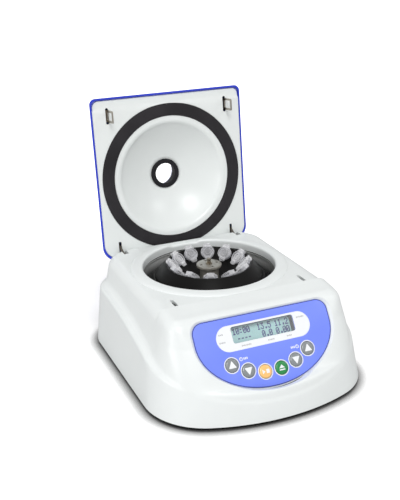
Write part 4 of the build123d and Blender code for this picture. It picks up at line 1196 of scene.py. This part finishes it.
@dataclass
class Dots:
    """Rows of small square dots that show plain digits."""

    lines: tuple = ("10:00  13.5 11.2", " ----   0.0 0.00")
    left: float = -24.5
    base: tuple = (11.9, 5.3)
    pitch: float = 0.57
    tall: float = 0.78
    advance: float = 3.30
    depth: float = -7.88
    width_share: float = 1.6
    height_share: float = 1.30
    thickness: float = 0.05

    def spots(self) -> list:
        """Find where each dot lies on the panel's plane.

        Returns:
            Each place once, in order.
        """
        made = []
        for text, base in zip(self.lines, self.base):
            for i, sign in enumerate(text):
                for (x0, y0), (x1, y1) in STROKES[sign]:
                    steps = max(abs(x1 - x0), abs(y1 - y0), 1)
                    for step in range(steps + 1):
                        x = x0 + (x1 - x0) * step / steps
                        y = y0 + (y1 - y0) * step / steps
                        made.append((self.left + i * self.advance + x * self.pitch, base + y * self.tall))
        return sorted(set((round(x, 3), round(y, 3)) for x, y in made))

    def build(self) -> bpy.types.Object:
        """Scatter one dot over the spots with geometry nodes.

        Returns:
            The dots as one plain mesh piece, on the panel's plane.
        """
        cloud = bpy.data.meshes.new("display_dots")
        cloud.from_pydata([(x * MM, y * MM, self.depth * MM) for x, y in self.spots()], [], [])
        tree, marks = start_group("dot_rows", {"Dot width": "NodeSocketFloat", "Dot height": "NodeSocketFloat"})
        source, sink, size, cube, scatter, points, real, paint = add_nodes(
            tree.nodes, "NodeGroupInput", "NodeGroupOutput", "ShaderNodeCombineXYZ", "GeometryNodeMeshCube",
            "GeometryNodeInstanceOnPoints", "GeometryNodeMeshToPoints", "GeometryNodeRealizeInstances",
            "GeometryNodeSetMaterial")
        preset(size, Z=self.thickness * MM)
        preset(paint, Material=Shop.ink.build())
        wire(tree.links, (source, "Geometry", points, "Mesh"), (source, "Dot width", size, "X"),
             (source, "Dot height", size, "Y"), (size, "Vector", cube, "Size"), (points, "Points", scatter, "Points"),
             (cube, "Mesh", scatter, "Instance"), (scatter, "Instances", real, "Geometry"),
             (real, "Geometry", paint, "Geometry"), (paint, "Geometry", sink, "Geometry"))
        wide, tall = self.pitch * MM * self.width_share, self.tall * MM * self.height_share
        return run_group(add_object("display_dots", cloud), tree,
                         {marks["Dot width"]: wide, marks["Dot height"]: tall})


# ---------------------------------------------------------------- rear wall


@dataclass
class RearWall:
    """Openings of the rear wall, on its leaning plane."""

    socket_x: float = -46.0
    rocker_x: float = -24.0
    vent_x: float = 32.0
    z: float = 26.0
    vents: int = 8
    pitch: float = 5.0

    def place(self) -> Matrix:
        """Find the wall's own plane.

        Returns:
            Where it lies: X towards the left of the machine, Y up the wall, Z out of it.
        """
        slope = Casing.rear_lean - Casing.swell / Casing.swell_over
        out = Vector((0.0, 1.0, slope)).normalized()
        across = Vector((-1.0, 0.0, 0.0))
        turn = Matrix((across, out.cross(across), out)).transposed().to_4x4()
        return Matrix.Translation((0.0, (Casing.rear - (self.z - Casing.base_z) * slope) * MM, self.z * MM)) @ turn

    def cutters(self) -> list:
        """Draw what cuts the socket's hole, the switch's hole and the vents.

        Returns:
            The tools.
        """
        outlines = {
            "cut_socket": [circle(5.6, (-self.socket_x, 0.0), 40)],
            "cut_switch": [oblong(-self.rocker_x - 6.3, -9.3, -self.rocker_x + 6.3, 9.3)],
            "cut_vent": [],
        }
        for i in range(self.vents):
            x = -self.vent_x + (i - (self.vents - 1) / 2) * self.pitch
            outlines["cut_vent"].append(rounded(oblong(x - 1.2, -6.0, x + 1.2, 14.0), [1.15] * 4, 6))
        place = self.place()
        return [settle(plate(name, outline, -8.0, 6.0, Shop.casing), place)
                for name, group in outlines.items() for outline in group]


# ---------------------------------------------------------------- well, chamber and rotor


@dataclass
class Bowl:
    """The dark bowl under the well, with a rolled floor corner."""

    section: tuple = ((66.4, 45.6), (66.4, 74.8), (63.1, 74.8), (63.1, 73.6), (64.9, 73.6), (64.9, 47.1), (12.6, 47.1),
                      (12.6, 49.9), (11.1, 49.9), (11.1, 45.6))
    radii: tuple = (7.0, 0.0, 0.0, 0.3, 0.4, 6.0, 0.8, 0.0, 0.0, 0.0)

    def build(self) -> None:
        """Build the bowl."""
        bowl = lathe("well_bowl", rounded(self.section, self.radii, 8), Shop.bowl, segments=160)
        fit(bowl, "housing", ("rotor_chamber",))


@dataclass
class Ring:
    """The ring of tubes: one drawn about its own line, the rest set round by geometry nodes."""

    count: int = 12
    phase: float = 8.7
    radius: float = 31.5
    height: float = 83.5
    tilt: float = -45.0

    def spread(self, unit: bpy.types.Object, finish: Finish) -> bpy.types.Object:
        """Set copies of a unit round the rotor.

        Args:
            unit: One piece, drawn about the local upright line at the origin.
            finish: What all the copies are finished in.

        Returns:
            One plain mesh piece with every copy, in place.
        """
        settle(unit, Matrix.Rotation(math.radians(self.tilt), 4, "Y"))
        tree, marks = start_group(f"{unit.name}_ring", {
            "Count": "NodeSocketInt", "Ring radius": "NodeSocketFloat", "First angle": "NodeSocketFloat"})
        (source, sink, index, step, turn, place, spin, points, scatter, real, paint) = add_nodes(
            tree.nodes, "NodeGroupInput", "NodeGroupOutput", "GeometryNodeInputIndex", "ShaderNodeMath",
            "ShaderNodeMath", "ShaderNodeCombineXYZ", "ShaderNodeCombineXYZ", "GeometryNodePoints",
            "GeometryNodeInstanceOnPoints", "GeometryNodeRealizeInstances", "GeometryNodeSetMaterial")
        step.operation, turn.operation = "DIVIDE", "MULTIPLY_ADD"
        turn.inputs[1].default_value = 2.0 * math.pi
        preset(paint, Material=finish.build())
        wire(tree.links, (index, "Index", step, 0), (source, "Count", step, 1), (step, "Value", turn, 0),
             (source, "First angle", turn, 2), (turn, "Value", spin, "Z"), (source, "Count", points, "Count"),
             (place, "Vector", points, "Position"), (points, "Points", scatter, "Points"),
             (source, "Geometry", scatter, "Instance"), (spin, "Vector", scatter, "Rotation"),
             (scatter, "Instances", real, "Geometry"), (real, "Geometry", paint, "Geometry"),
             (paint, "Geometry", sink, "Geometry"))
        for axis, name in (("X", "COSINE"), ("Y", "SINE")):
            wave, scale = add_nodes(tree.nodes, "ShaderNodeMath", "ShaderNodeMath")
            wave.operation, scale.operation = name, "MULTIPLY"
            wire(tree.links, (turn, "Value", wave, 0), (wave, "Value", scale, 0), (source, "Ring radius", scale, 1),
                 (scale, "Value", place, axis))
        run_group(unit, tree, {marks["Count"]: self.count, marks["Ring radius"]: self.radius * MM,
                               marks["First angle"]: math.radians(self.phase)})
        return settle(unit, Matrix.Translation((0.0, AXIS_Y * MM, self.height * MM)))

    def places(self) -> list:
        """Find each tube's own line.

        Returns:
            Places whose upright line is a tube's.
        """
        made = []
        for i in range(self.count):
            turn = Matrix.Rotation(math.radians(self.phase + 360.0 * i / self.count), 4, "Z")
            out = Matrix.Translation((self.radius * MM, 0.0, self.height * MM))
            tilt = Matrix.Rotation(math.radians(self.tilt), 4, "Y")
            made.append(Matrix.Translation((0.0, AXIS_Y * MM, 0.0)) @ turn @ out @ tilt)
        return made


@dataclass
class Rotor:
    """Everything that spins: the black rotor, its hub and knob, and the loaded tubes."""

    ring: Ring = field(default_factory=Ring)

    def body(self) -> None:
        """The black cone with its dish and twelve angled bores."""
        section = [(4.1, 50.0), (12.0, 50.0), (12.0, 58.0), (36.0, 58.0), (36.0, 50.0), (54.5, 50.0), (60.5, 56.0),
                   (60.5, 65.5), (57.4, 68.6), (56.4, 68.4), (55.8, 70.2), (52.6, 73.4), (51.6, 73.2), (51.0, 75.0),
                   (41.2, 84.8), (39.8, 84.8), (19.0, 64.0), (4.1, 64.0)]
        soft = [0.0, 0.0, 0.0, 0.0, 0.6, 1.2, 2.0, 2.0, 0.3, 0.2, 0.3, 0.3, 0.2, 0.3, 0.6, 0.6, 2.0, 0.0]
        piece = lathe("rotor_cone", rounded(section, soft, 6), Shop.rotor, segments=144)
        drill = [(0.0, 8.0), (0.0, -37.2), (2.0, -37.2), (5.6, -21.0), (5.6, -5.6), (6.1, -4.6), (6.1, 8.0)]
        drills = [settle(lathe("drill", drill, Shop.rotor, (0.0, 0.0), 32), place) for place in self.ring.places()]
        dress(carve(piece, drills), Shop.rotor, 34.0)
        fit(piece, "rotor", ("rotor_body",))

    def hub(self) -> None:
        """The nickel hub disc on its post, drilled with four holes."""
        section = [(4.1, 64.05), (9.4, 64.05), (9.4, 80.6), (12.0, 80.6), (12.0, 83.2), (0.0, 83.2), (0.0, 80.8),
                   (4.1, 80.8)]
        piece = lathe("hub_disc", rounded(section, [0.0, 0.3, 0.8, 0.5, 0.8, 0.0, 0.0, 0.0], 5), Shop.nickel,
                      segments=96)
        drills = []
        for i in range(4):
            turn = math.radians(90.0 * i)
            spot = (8.0 * math.cos(turn), AXIS_Y + 8.0 * math.sin(turn))
            drills.append(plate("drill", circle(1.3, spot, 24), 81.0, 90.0, Shop.nickel))
        dress(carve(piece, drills), Shop.nickel, 34.0)
        fit(piece, "rotor", ("rotor_hub",))

    def knob(self) -> None:
        """The fluted brass knob on the hub."""
        petals = []
        for i in range(72):
            turn = 2.0 * math.pi * i / 72
            radius = 1.75 + 0.2 * math.cos(6.0 * turn)
            petals.append((radius * math.cos(turn), AXIS_Y + radius * math.sin(turn)))
        foot = plate("hub_knob", circle(3.1, (0.0, AXIS_Y), 48), 83.2, 84.3, Shop.brass, 0.3)
        knob = join("hub_knob", [plate("stem", petals, 84.1, 88.4, Shop.brass, 0.35), foot])
        fit(knob, "rotor", ("rotor_nut",))

    def tubes(self) -> None:
        """The twelve clear tubes and their snap caps."""
        wall = [(0.0, -36.9), (1.6, -36.8), (2.0, -36.2), (5.35, -21.0), (5.4, -4.4), (6.1, -4.4), (6.35, -4.2),
                (6.4, -2.6), (6.2, -2.3), (4.55, -2.3), (4.5, -21.0), (1.4, -35.6), (0.0, -36.0)]
        unit = lathe("tube", wall, Shop.tube, (0.0, 0.0), 40)
        tubes = self.ring.spread(unit, Shop.tube)
        tubes.name = "tube_ring"
        fit(tubes, "rotor", ("microtubes",))
        lid = [(0.0, -0.95), (2.3, -0.95), (2.7, -0.45), (3.1, -0.35), (3.5, -0.45), (3.8, -0.85), (4.5, -0.85),
               (4.9, -0.25), (5.3, 0.0), (6.1, 0.0), (6.5, -0.25), (6.6, -0.7), (6.6, -1.9), (6.4, -2.15),
               (4.35, -2.2), (4.3, -4.2), (4.1, -4.4), (3.6, -4.4), (3.4, -4.1), (3.3, -2.2), (0.0, -2.2)]
        cap = lathe("cap", lid, Shop.cap, (0.0, 0.0), 44)
        tab = rounded([(-9.0, -2.6), (-5.2, -3.4), (-5.2, 3.4), (-9.0, 2.6)], [1.8, 0.0, 0.0, 1.8], 6)
        strap = rounded([(5.0, -4.2), (8.6, -3.0), (8.6, 3.0), (5.0, 4.2)], [0.0, 0.8, 0.8, 0.0], 5)
        parts = [cap, plate("tab", tab, -1.5, -0.35, Shop.cap, 0.25),
                 plate("strap", strap, -1.3, -0.3, Shop.cap, 0.2),
                 plate("fall", oblong(7.7, -2.9, 8.6, 2.9), -4.1, -0.6, Shop.cap, 0.15),
                 plate("hook", oblong(5.9, -2.9, 8.6, 2.9), -4.3, -3.4, Shop.cap, 0.2)]
        caps = self.ring.spread(join("caps", parts), Shop.cap)
        caps.name = "cap_ring"
        fit(caps, "rotor", ("tube_caps",))

    def build(self) -> None:
        """Build all that spins and shows."""
        self.body()
        self.hub()
        self.knob()
        self.tubes()


# ---------------------------------------------------------------- lid


@dataclass
class Lid:
    """The open lid: blue cover, white liner with its dome, gasket, sight glass, strikers and arms."""

    half: float = 79.0
    front: float = -50.5
    rear: float = 111.0
    front_round: float = 6.0
    rear_round: float = 15.0
    rim_z: float = 85.0
    top: float = 125.0
    lean: float = math.tan(math.radians(16.0))
    arch: float = 210.0
    edge: float = 8.0
    wall: float = 2.5
    rim: float = 1.7
    turns: int = 360
    gasket: tuple = (60.8, 73.0)
    groove_z: float = 87.7
    sight: float = 13.9
    dome_radius: float = 76.4
    dome_z: float = 32.0

    def hang(self, piece: bpy.types.Object, stands_for: str) -> None:
        """Open a piece that is drawn with the lid shut, and fit it to the lid."""
        fit(settle(piece, open_place()), "lid", (stands_for,))

    def distance(self, x: np.ndarray, y: np.ndarray, inset: np.ndarray) -> np.ndarray:
        """Find how far places are from the lid's plan outline.

        Args:
            x: Sideways places.
            y: Places from front to back.
            inset: How far the outline is moved inwards.

        Returns:
            Distances, negative inside.
        """
        x = np.abs(x)
        half, front, rear = self.half - inset, self.front + inset, self.rear - inset
        middle = (front + rear) / 2.0
        radius = np.where(y < middle, self.front_round, self.rear_round)
        along = np.where(y < middle, (front + radius) - y, y - (rear - radius))
        return round_corner(x - (half - radius), along, radius)

    def field(self, x: np.ndarray, y: np.ndarray, z: np.ndarray, inset: float = 0.0) -> np.ndarray:
        """Find how far places are from the cover's form, drawn shut.

        Args:
            x: Sideways places.
            y: Places from front to back.
            z: Heights.
            inset: How far the form is moved inwards.

        Returns:
            Distances, negative inside.
        """
        side = self.distance(x, y, inset + (z - self.rim_z) * self.lean) * math.cos(math.atan(self.lean))
        middle = (self.front + self.rear) / 2.0
        ball = np.sqrt(x**2 + (y - middle) ** 2 + (z - self.top + self.arch) ** 2) - self.arch + inset
        return round_over(side, ball, self.edge - inset)

    def reach(self, angle: np.ndarray, inset: float) -> np.ndarray:
        """Find how far the rim is from the well's axis.

        Args:
            angle: Direction of each column.
            inset: How far the rim is moved inwards.

        Returns:
            The radius on each column.
        """
        return halve(lambda r: self.distance(r * np.cos(angle), AXIS_Y + r * np.sin(angle), inset) < 0.0,
                     np.full_like(angle, 40.0), np.full_like(angle, 160.0), 28)

    def columns(self) -> np.ndarray:
        """Set out the columns, closer together towards the four corners.

        Returns:
            Their directions.
        """
        corners = [math.atan2(y - AXIS_Y, x) for x, y in oblong(self.half, self.rear, -self.half, self.front)]
        dense = np.linspace(-math.pi, math.pi, 4001)
        weight = np.ones_like(dense)
        for corner in corners:
            gap = np.abs(np.angle(np.exp(1j * (dense - corner))))
            weight += 5.0 * np.exp(-((gap / 0.10) ** 2))
        total = np.concatenate([[0.0], np.cumsum((weight[1:] + weight[:-1]) / 2.0)])
        return np.interp(np.linspace(0.0, total[-1], self.turns, endpoint=False), total, dense)

    def skin(self, angle: np.ndarray, inset: float, rows: int) -> list:
        """Draw the cover from the sight hole out and down to the rim.

        Args:
            angle: Direction of each column.
            inset: How far the surface is moved inwards.
            rows: Number of rings.

        Returns:
            The rings.
        """
        end = self.reach(angle, inset)
        radius = self.sight + (end - self.sight)[None, :] * np.linspace(0.0, 1.0, 500)[:, None]
        x, y = radius * np.cos(angle)[None, :], AXIS_Y + radius * np.sin(angle)[None, :]
        z = halve(lambda z: self.field(x, y, z, inset) < 0.0, np.full_like(x, self.rim_z), np.full_like(x, 130.0), 26)
        z[-1] = self.rim_z
        return list(even_rings(angle, radius, z, rows))

    def cover(self) -> None:
        """The blue moulded cover with its sight hole."""
        angle = self.columns()
        outer, inner = self.skin(angle, 0.0, 84), self.skin(angle, self.wall, 40)[::-1]
        outer[-1][:, 2] = self.rim_z + 0.6
        soft, lower = self.reach(angle, 0.3), self.reach(angle, self.rim)
        rim = [ring_at(angle, r, self.rim_z + up) for r, up in (
            (soft, 0.05), (lower - 0.2, 0.0), (lower, 0.2), (lower, 3.2))]
        rings = outer + rim + inner
        piece = make_piece("lid_cover", np.concatenate(rings), grid_faces(len(rings), self.turns, True), Shop.cover)
        tidy(piece)
        piece.data.set_sharp_from_angle(angle=math.radians(38.0))
        self.hang(piece, "lid_shell")

    def liner(self) -> None:
        """The white liner: plate, gasket groove, softly rounded dome and a stepped front band."""
        angle = self.columns()
        rings = [ring_at(angle, r, z) for r, z in self.liner_section(self.reach(angle, self.rim + 0.25))]
        points = np.concatenate(rings)
        # The band along the front edge stands back a little from the plate
        flat = np.abs(points[:, 2] - self.rim_z) < 0.5
        far = np.hypot(points[:, 0], points[:, 1] - AXIS_Y) > self.gasket[1] + 0.35
        band = np.clip((self.front + 12.6 - points[:, 1]) / 2.6, 0.0, 1.0)
        points[:, 2] += np.where(flat & far, 0.9 * ease(band), 0.0)
        piece = make_piece("lid_lining", points, grid_faces(len(rings), self.turns, True), Shop.liner)
        tidy(piece)
        slots = []
        for side in (-1, 1):
            x = side * LATCH_X - 0.5
            slots.append(rounded(oblong(x - 1.7, LATCH_Y - 7.8, x + 1.7, LATCH_Y + 7.8), [1.6] * 4, 6))
            x = side * ARM_X
            slots.append(rounded(oblong(x - 1.5, 92.4, x + 1.5, 104.4), [0.8] * 4, 4))
        cutters = [plate("slot", slot, 80.0, 92.0, Shop.liner) for slot in slots]
        dress(carve(piece, cutters), Shop.liner, 38.0)
        self.hang(piece, "lid_liner")

    def liner_section(self, edge: np.ndarray) -> list:
        """Draw the liner's closed section.

        Args:
            edge: How far the liner's edge is from the well's axis on each column.

        Returns:
            Pairs of radius and height, from the sight hole over the underside to the edge and back over the top.
        """
        low = self.rim_z
        inner, outer = self.gasket[0] - 0.05, self.gasket[1] + 0.05
        dome = [(12.7, 107.5), (15.2, 107.5), (15.6, 107.3)]
        dome += [(r, self.dome_z + math.sqrt(self.dome_radius**2 - r**2)) for r in np.linspace(16.4, 53.0, 22)]
        turn = [math.radians(135.0 - 45.0 * i / 8) for i in range(9)]
        roll = [(57.4 + 6.0 * math.cos(a), low + 6.0 - 6.0 * math.sin(a)) for a in turn]
        first = outer + 0.35
        groove = [(58.6, low), (inner - 0.35, low), (inner, low + 0.3), (inner, self.groove_z),
                  (outer, self.groove_z), (outer, low + 0.3), (first, low)]
        plain = [(first + (edge - 0.7 - first) * share, low) for share in (
            0.08, 0.2, 0.35, 0.5, 0.62, 0.72, 0.8, 0.86, 0.90, 0.93, 0.955, 0.975, 0.99)]
        rim = [(edge - 0.35, low + 0.08), (edge, low + 0.45), (edge, low + 2.4)]
        back = [(outer + 2.5, low + 2.5), (outer + 2.5, low + 5.1), (58.5, low + 5.1)]
        back += [(r + 1.6, z + 2.0) for r, z in dome[::-1][:-3]]
        return dome + roll + groove + plain + rim + back + [(15.0, 110.0), (12.7, 110.0)]

    def seals(self) -> None:
        """Gasket, grommet and sight glass."""
        low, high = self.gasket
        section = [(low, self.groove_z), (low, 84.3), (high, 84.3), (high, self.groove_z)]
        seal = lathe("lid_seal", rounded(section, [0.0, 0.5, 0.5, 0.0], 5), Shop.foam, segments=160)
        self.hang(seal, "lid_gasket")
        section = [(10.2, 105.5), (15.0, 105.5), (15.0, 107.48), (12.6, 107.48), (12.6, 110.2), (14.6, 121.9),
                   (13.45, 121.9), (13.45, 119.9), (12.9, 119.9)]
        section = rounded(section, [0.7, 1.0, 0.0, 0.0, 0.0, 0.0, 0.0, 0.0, 0.0], 5)
        self.hang(lathe("sight_ring", section, Shop.rubber, segments=96), "sight_grommet")
        section = [(0.0, 119.9), (13.2, 119.9), (13.4, 120.1), (13.4, 121.7), (13.2, 121.9), (0.0, 121.9)]
        self.hang(lathe("sight_pane", section, Shop.window, segments=96), "sight_window")

    def loops(self) -> None:
        """The two thin metal loops that the latch pins enter, each with its foot inside the lid."""
        line = rounded(oblong(-5.8, 70.0, 5.8, 89.8), [1.6, 1.6, 0.4, 0.4], 5)
        gap = rounded(oblong(-3.8, 71.9, 3.8, 86.4), [0.8] * 4, 4)
        for side, name in ((-1, "left"), (1, "right")):
            loop = plate("loop", line, -0.55, 0.55, Shop.bronze, 0.22, (gap,))
            foot = [(side * x, y) for x, y in oblong(0.0, -5.8, 5.0, 5.8)[::side]]
            foot_piece = plate("foot", foot, 88.6, 89.8, Shop.bronze, 0.15)
            spot = Matrix.Translation(((side * LATCH_X + 0.4) * MM, LATCH_Y * MM, 0.0))
            settle(loop, spot @ ON_EDGE)
            settle(foot_piece, spot)
            self.hang(join(f"striker_loop_{name}", [loop, foot_piece]), f"striker_{name}")

    def arms(self) -> None:
        """The two bent hinge arms, from the shaft through the liner to their feet inside the lid."""
        turns = [math.radians(211.0 + 180.0 * step / 16) for step in range(17)]
        line = [(HINGE_Y + 3.2 * math.cos(a), HINGE_Z + 3.2 * math.sin(a)) for a in turns]
        line += [(99.0, 90.1), (99.0, 93.6), (82.0, 93.6), (82.0, 89.6), (94.4, 89.6), (95.6, 87.9)]
        for side, name in ((-1, "left"), (1, "right")):
            arm = plate("arm", line, -0.8, 0.8, Shop.arm, 0.25, (circle(2.05, (HINGE_Y, HINGE_Z), 32),))
            settle(arm, Matrix.Translation((side * ARM_X * MM, 0.0, 0.0)) @ ON_EDGE)
            foot = [(side * (ARM_X + x), y) for x, y in oblong(0.8, 82.4, 7.0, 92.6)[::side]]
            foot_piece = plate("foot", foot, 89.8, 91.0, Shop.arm, 0.2)
            self.hang(join(f"hinge_link_{name}", [arm, foot_piece]), f"hinge_arm_{name}")

    def build(self) -> None:
        """Build every piece of the lid."""
        self.cover()
        self.liner()
        self.seals()
        self.loops()
        self.arms()


# ---------------------------------------------------------------- the rest of the frame


class Dress:
    """Gives each CAD node that stays its procedural finish, by its material slot."""

    by_slot = {
        "housing": Shop.casing, "base_plate": Shop.plate, "feet": Shop.rubber, "steel": Shop.steel,
        "overlay": Shop.film, "window": Shop.window, "display": Shop.display, "board": Shop.board,
        "nylon": Shop.nylon, "dark_plastic": Shop.black, "key_grey": Shop.key_grey, "key_orange": Shop.key_amber,
        "key_green": Shop.key_green, "iron": Shop.iron, "bowl": Shop.bowl, "seal": Shop.rubber,
        "motor_can": Shop.iron, "copper": Shop.copper, "zinc": Shop.bronze, "rotor": Shop.rotor,
        "hub": Shop.nickel, "nut": Shop.brass, "tube": Shop.tube, "lid_blue": Shop.cover, "gasket": Shop.foam,
        "rocker": Shop.black,
    }

    def build(self) -> None:
        """Assign the finishes."""
        for entry in frame["record"]["subparts"]:
            node = frame["nodes"][entry["node"]]
            material = self.by_slot.get(entry["material_slot"], Shop.steel).build()
            for slot in node.material_slots:
                slot.link = "DATA"
                slot.material = material
            if not node.material_slots:
                node.data.materials.append(material)


# ---------------------------------------------------------------- studio


@dataclass
class Studio:
    """White floor and backdrop, soft lamps and the camera of the photograph.

    The eye is in millimetres from the middle of the machine's body, the angles are in degrees, and each lamp has a
    name, a place and a size in metres and a power in watts.
    """

    eye: tuple = (-289.7, -639.6, 379.6)
    azimuth: float = -22.65
    elevation: float = 21.09
    roll: float = -1.39
    lens: float = 75.33
    sky: float = 0.54
    lamps: tuple = (
        ("key", (-0.38, -1.32, 1.52), 0.65, 16.8),
        ("right", (1.10, -0.95, 1.15), 0.35, 2.6),
        ("left", (-1.60, -0.40, 0.30), 0.8, 7.5),
        ("top", (0.10, 0.30, 1.90), 0.9, 3.2),
    )
    aim: tuple = (0.0, 0.0, 0.09)
    floor_half: float = 6.0
    # Painted contact shadow: the floor darkens this near to the machine, in metres, and this steeply
    painted_shadow_reach: float = 0.011
    painted_shadow_power: float = 2.8
    # Tone of the floor in the light it throws back and as the camera sees it
    floor_tone: tuple = (0.62, 0.90)
    # Distances in metres over which its glow for the camera rises, and the glow at both: the weaker glow near the
    # machine paints shade round it
    glow_over: tuple = (0.12, 0.50)
    glow: tuple = (0.22, 1.0)

    def camera(self, shift: float) -> None:
        """Place the camera where the photograph was taken.

        Args:
            shift: How far the frame's origin lies in front of the middle of the body, in metres.
        """
        a, e, r = (math.radians(v) for v in (self.azimuth, self.elevation, self.roll))
        back = Vector((math.sin(a) * math.cos(e), -math.cos(a) * math.cos(e), math.sin(e)))
        right = Vector((math.cos(a), math.sin(a), 0.0))
        up = back.cross(right)
        across = right * math.cos(r) + up * math.sin(r)
        above = up * math.cos(r) - right * math.sin(r)
        data = bpy.data.cameras.new("camera")
        data.sensor_fit = "HORIZONTAL"
        data.sensor_width = 36.0
        data.lens = self.lens
        data.clip_start = 0.01
        camera = add_object("camera", data)
        place = Matrix((across, above, back)).transposed().to_4x4()
        place.translation = Vector(self.eye) * MM + Vector((0.0, shift, 0.0))
        camera.matrix_world = place
        bpy.context.scene.camera = camera

    def floor(self) -> None:
        """A pale floor that goes on far behind the machine, with painted shadow: ambient occlusion darkens it near the
        machine, and its glow for the camera is weaker there.
        """
        far = self.floor_half
        mesh = bpy.data.meshes.new("floor")
        mesh.from_pydata([(x, y, 0) for x, y in oblong(-far, -far, far, far)], [], [(0, 1, 2, 3)])
        material = bpy.data.materials.new("floor_white")
        material.use_nodes = True
        nodes, links = material.node_tree.nodes, material.node_tree.links
        nodes.clear()
        matt, glow, both, out, ray, near, deep, full, tone, spot, away, rise, dim, gain = add_nodes(
            nodes, "ShaderNodeBsdfDiffuse", "ShaderNodeEmission", "ShaderNodeAddShader", "ShaderNodeOutputMaterial",
            "ShaderNodeLightPath", "ShaderNodeAmbientOcclusion", "ShaderNodeMath", "ShaderNodeMapRange",
            "ShaderNodeMapRange", "ShaderNodeTexCoord", "ShaderNodeVectorMath", "ShaderNodeMapRange",
            "ShaderNodeMath", "ShaderNodeMath")
        # Ambient occlusion, raised to a power, darkens the floor's colour and its glow round the machine: a painted
        # contact shadow
        preset(near, Distance=self.painted_shadow_reach)
        near.samples = 12
        deep.operation, deep.inputs[1].default_value = "POWER", self.painted_shadow_power
        preset(full, To_Min=self.floor_tone[0], To_Max=self.floor_tone[1])
        away.operation = "LENGTH"
        rise.interpolation_type = "SMOOTHSTEP"
        preset(rise, From_Min=self.glow_over[0], From_Max=self.glow_over[1], To_Min=self.glow[0], To_Max=self.glow[1])
        dim.operation = gain.operation = "MULTIPLY"
        wire(links, (ray, "Is Camera Ray", full, "Value"), (full, "Result", tone, "To Max"), (near, "AO", deep, 0),
             (deep, "Value", tone, "Value"), (tone, "Result", matt, "Color"), (spot, "Object", away, 0),
             (away, "Value", rise, "Value"), (rise, "Result", dim, 0), (deep, "Value", dim, 1),
             (ray, "Is Camera Ray", gain, 0), (dim, "Value", gain, 1), (gain, "Value", glow, "Strength"),
             (matt, "BSDF", both, 0), (glow, "Emission", both, 1), (both, "Shader", out, "Surface"))
        mesh.materials.append(material)
        ground = add_object("floor", mesh)

    def world(self) -> None:
        """White for what the camera sees directly, softer for the light it gives."""
        world = bpy.data.worlds.new("studio")
        world.use_nodes = True
        bpy.context.scene.world = world
        nodes, links = world.node_tree.nodes, world.node_tree.links
        back = nodes["Background"]
        back.inputs["Color"].default_value = (1.0, 1.0, 1.0, 1.0)
        ray, most, level = add_nodes(nodes, "ShaderNodeLightPath", "ShaderNodeMath", "ShaderNodeMapRange")
        most.operation = "MAXIMUM"
        preset(level, To_Min=self.sky, To_Max=1.0)
        wire(links, (ray, "Is Camera Ray", most, 0), (ray, "Is Transmission Ray", most, 1),
             (most, "Value", level, "Value"), (level, "Result", back, "Strength"))

    def lights(self) -> None:
        """Large soft lamps aimed at the machine."""
        for name, spot, size, power in self.lamps:
            data = bpy.data.lights.new(name, "AREA")
            data.shape = "SQUARE"
            data.size = size
            data.energy = power
            lamp = add_object(name, data)
            lamp.location = spot
            lamp.rotation_euler = (Vector(self.aim) - Vector(spot)).to_track_quat("-Z", "Y").to_euler()

    def build(self, shift: float) -> None:
        """Set the whole studio.

        Args:
            shift: How far the frame's origin lies in front of the middle of the body, in metres.
        """
        scene = bpy.context.scene
        scene.view_settings.view_transform = "Standard"
        self.floor()
        self.world()
        self.lights()
        self.camera(shift)


def main() -> None:
    """Dress the frame, build each assembly and light it."""
    logging.basicConfig(level=logging.INFO)
    Dress().build()
    Casing().build()
    Film().build()
    Bowl().build()
    Rotor().build()
    Lid().build()
    Studio().build(SHIFT)


if __name__ == "__main__":
    main()
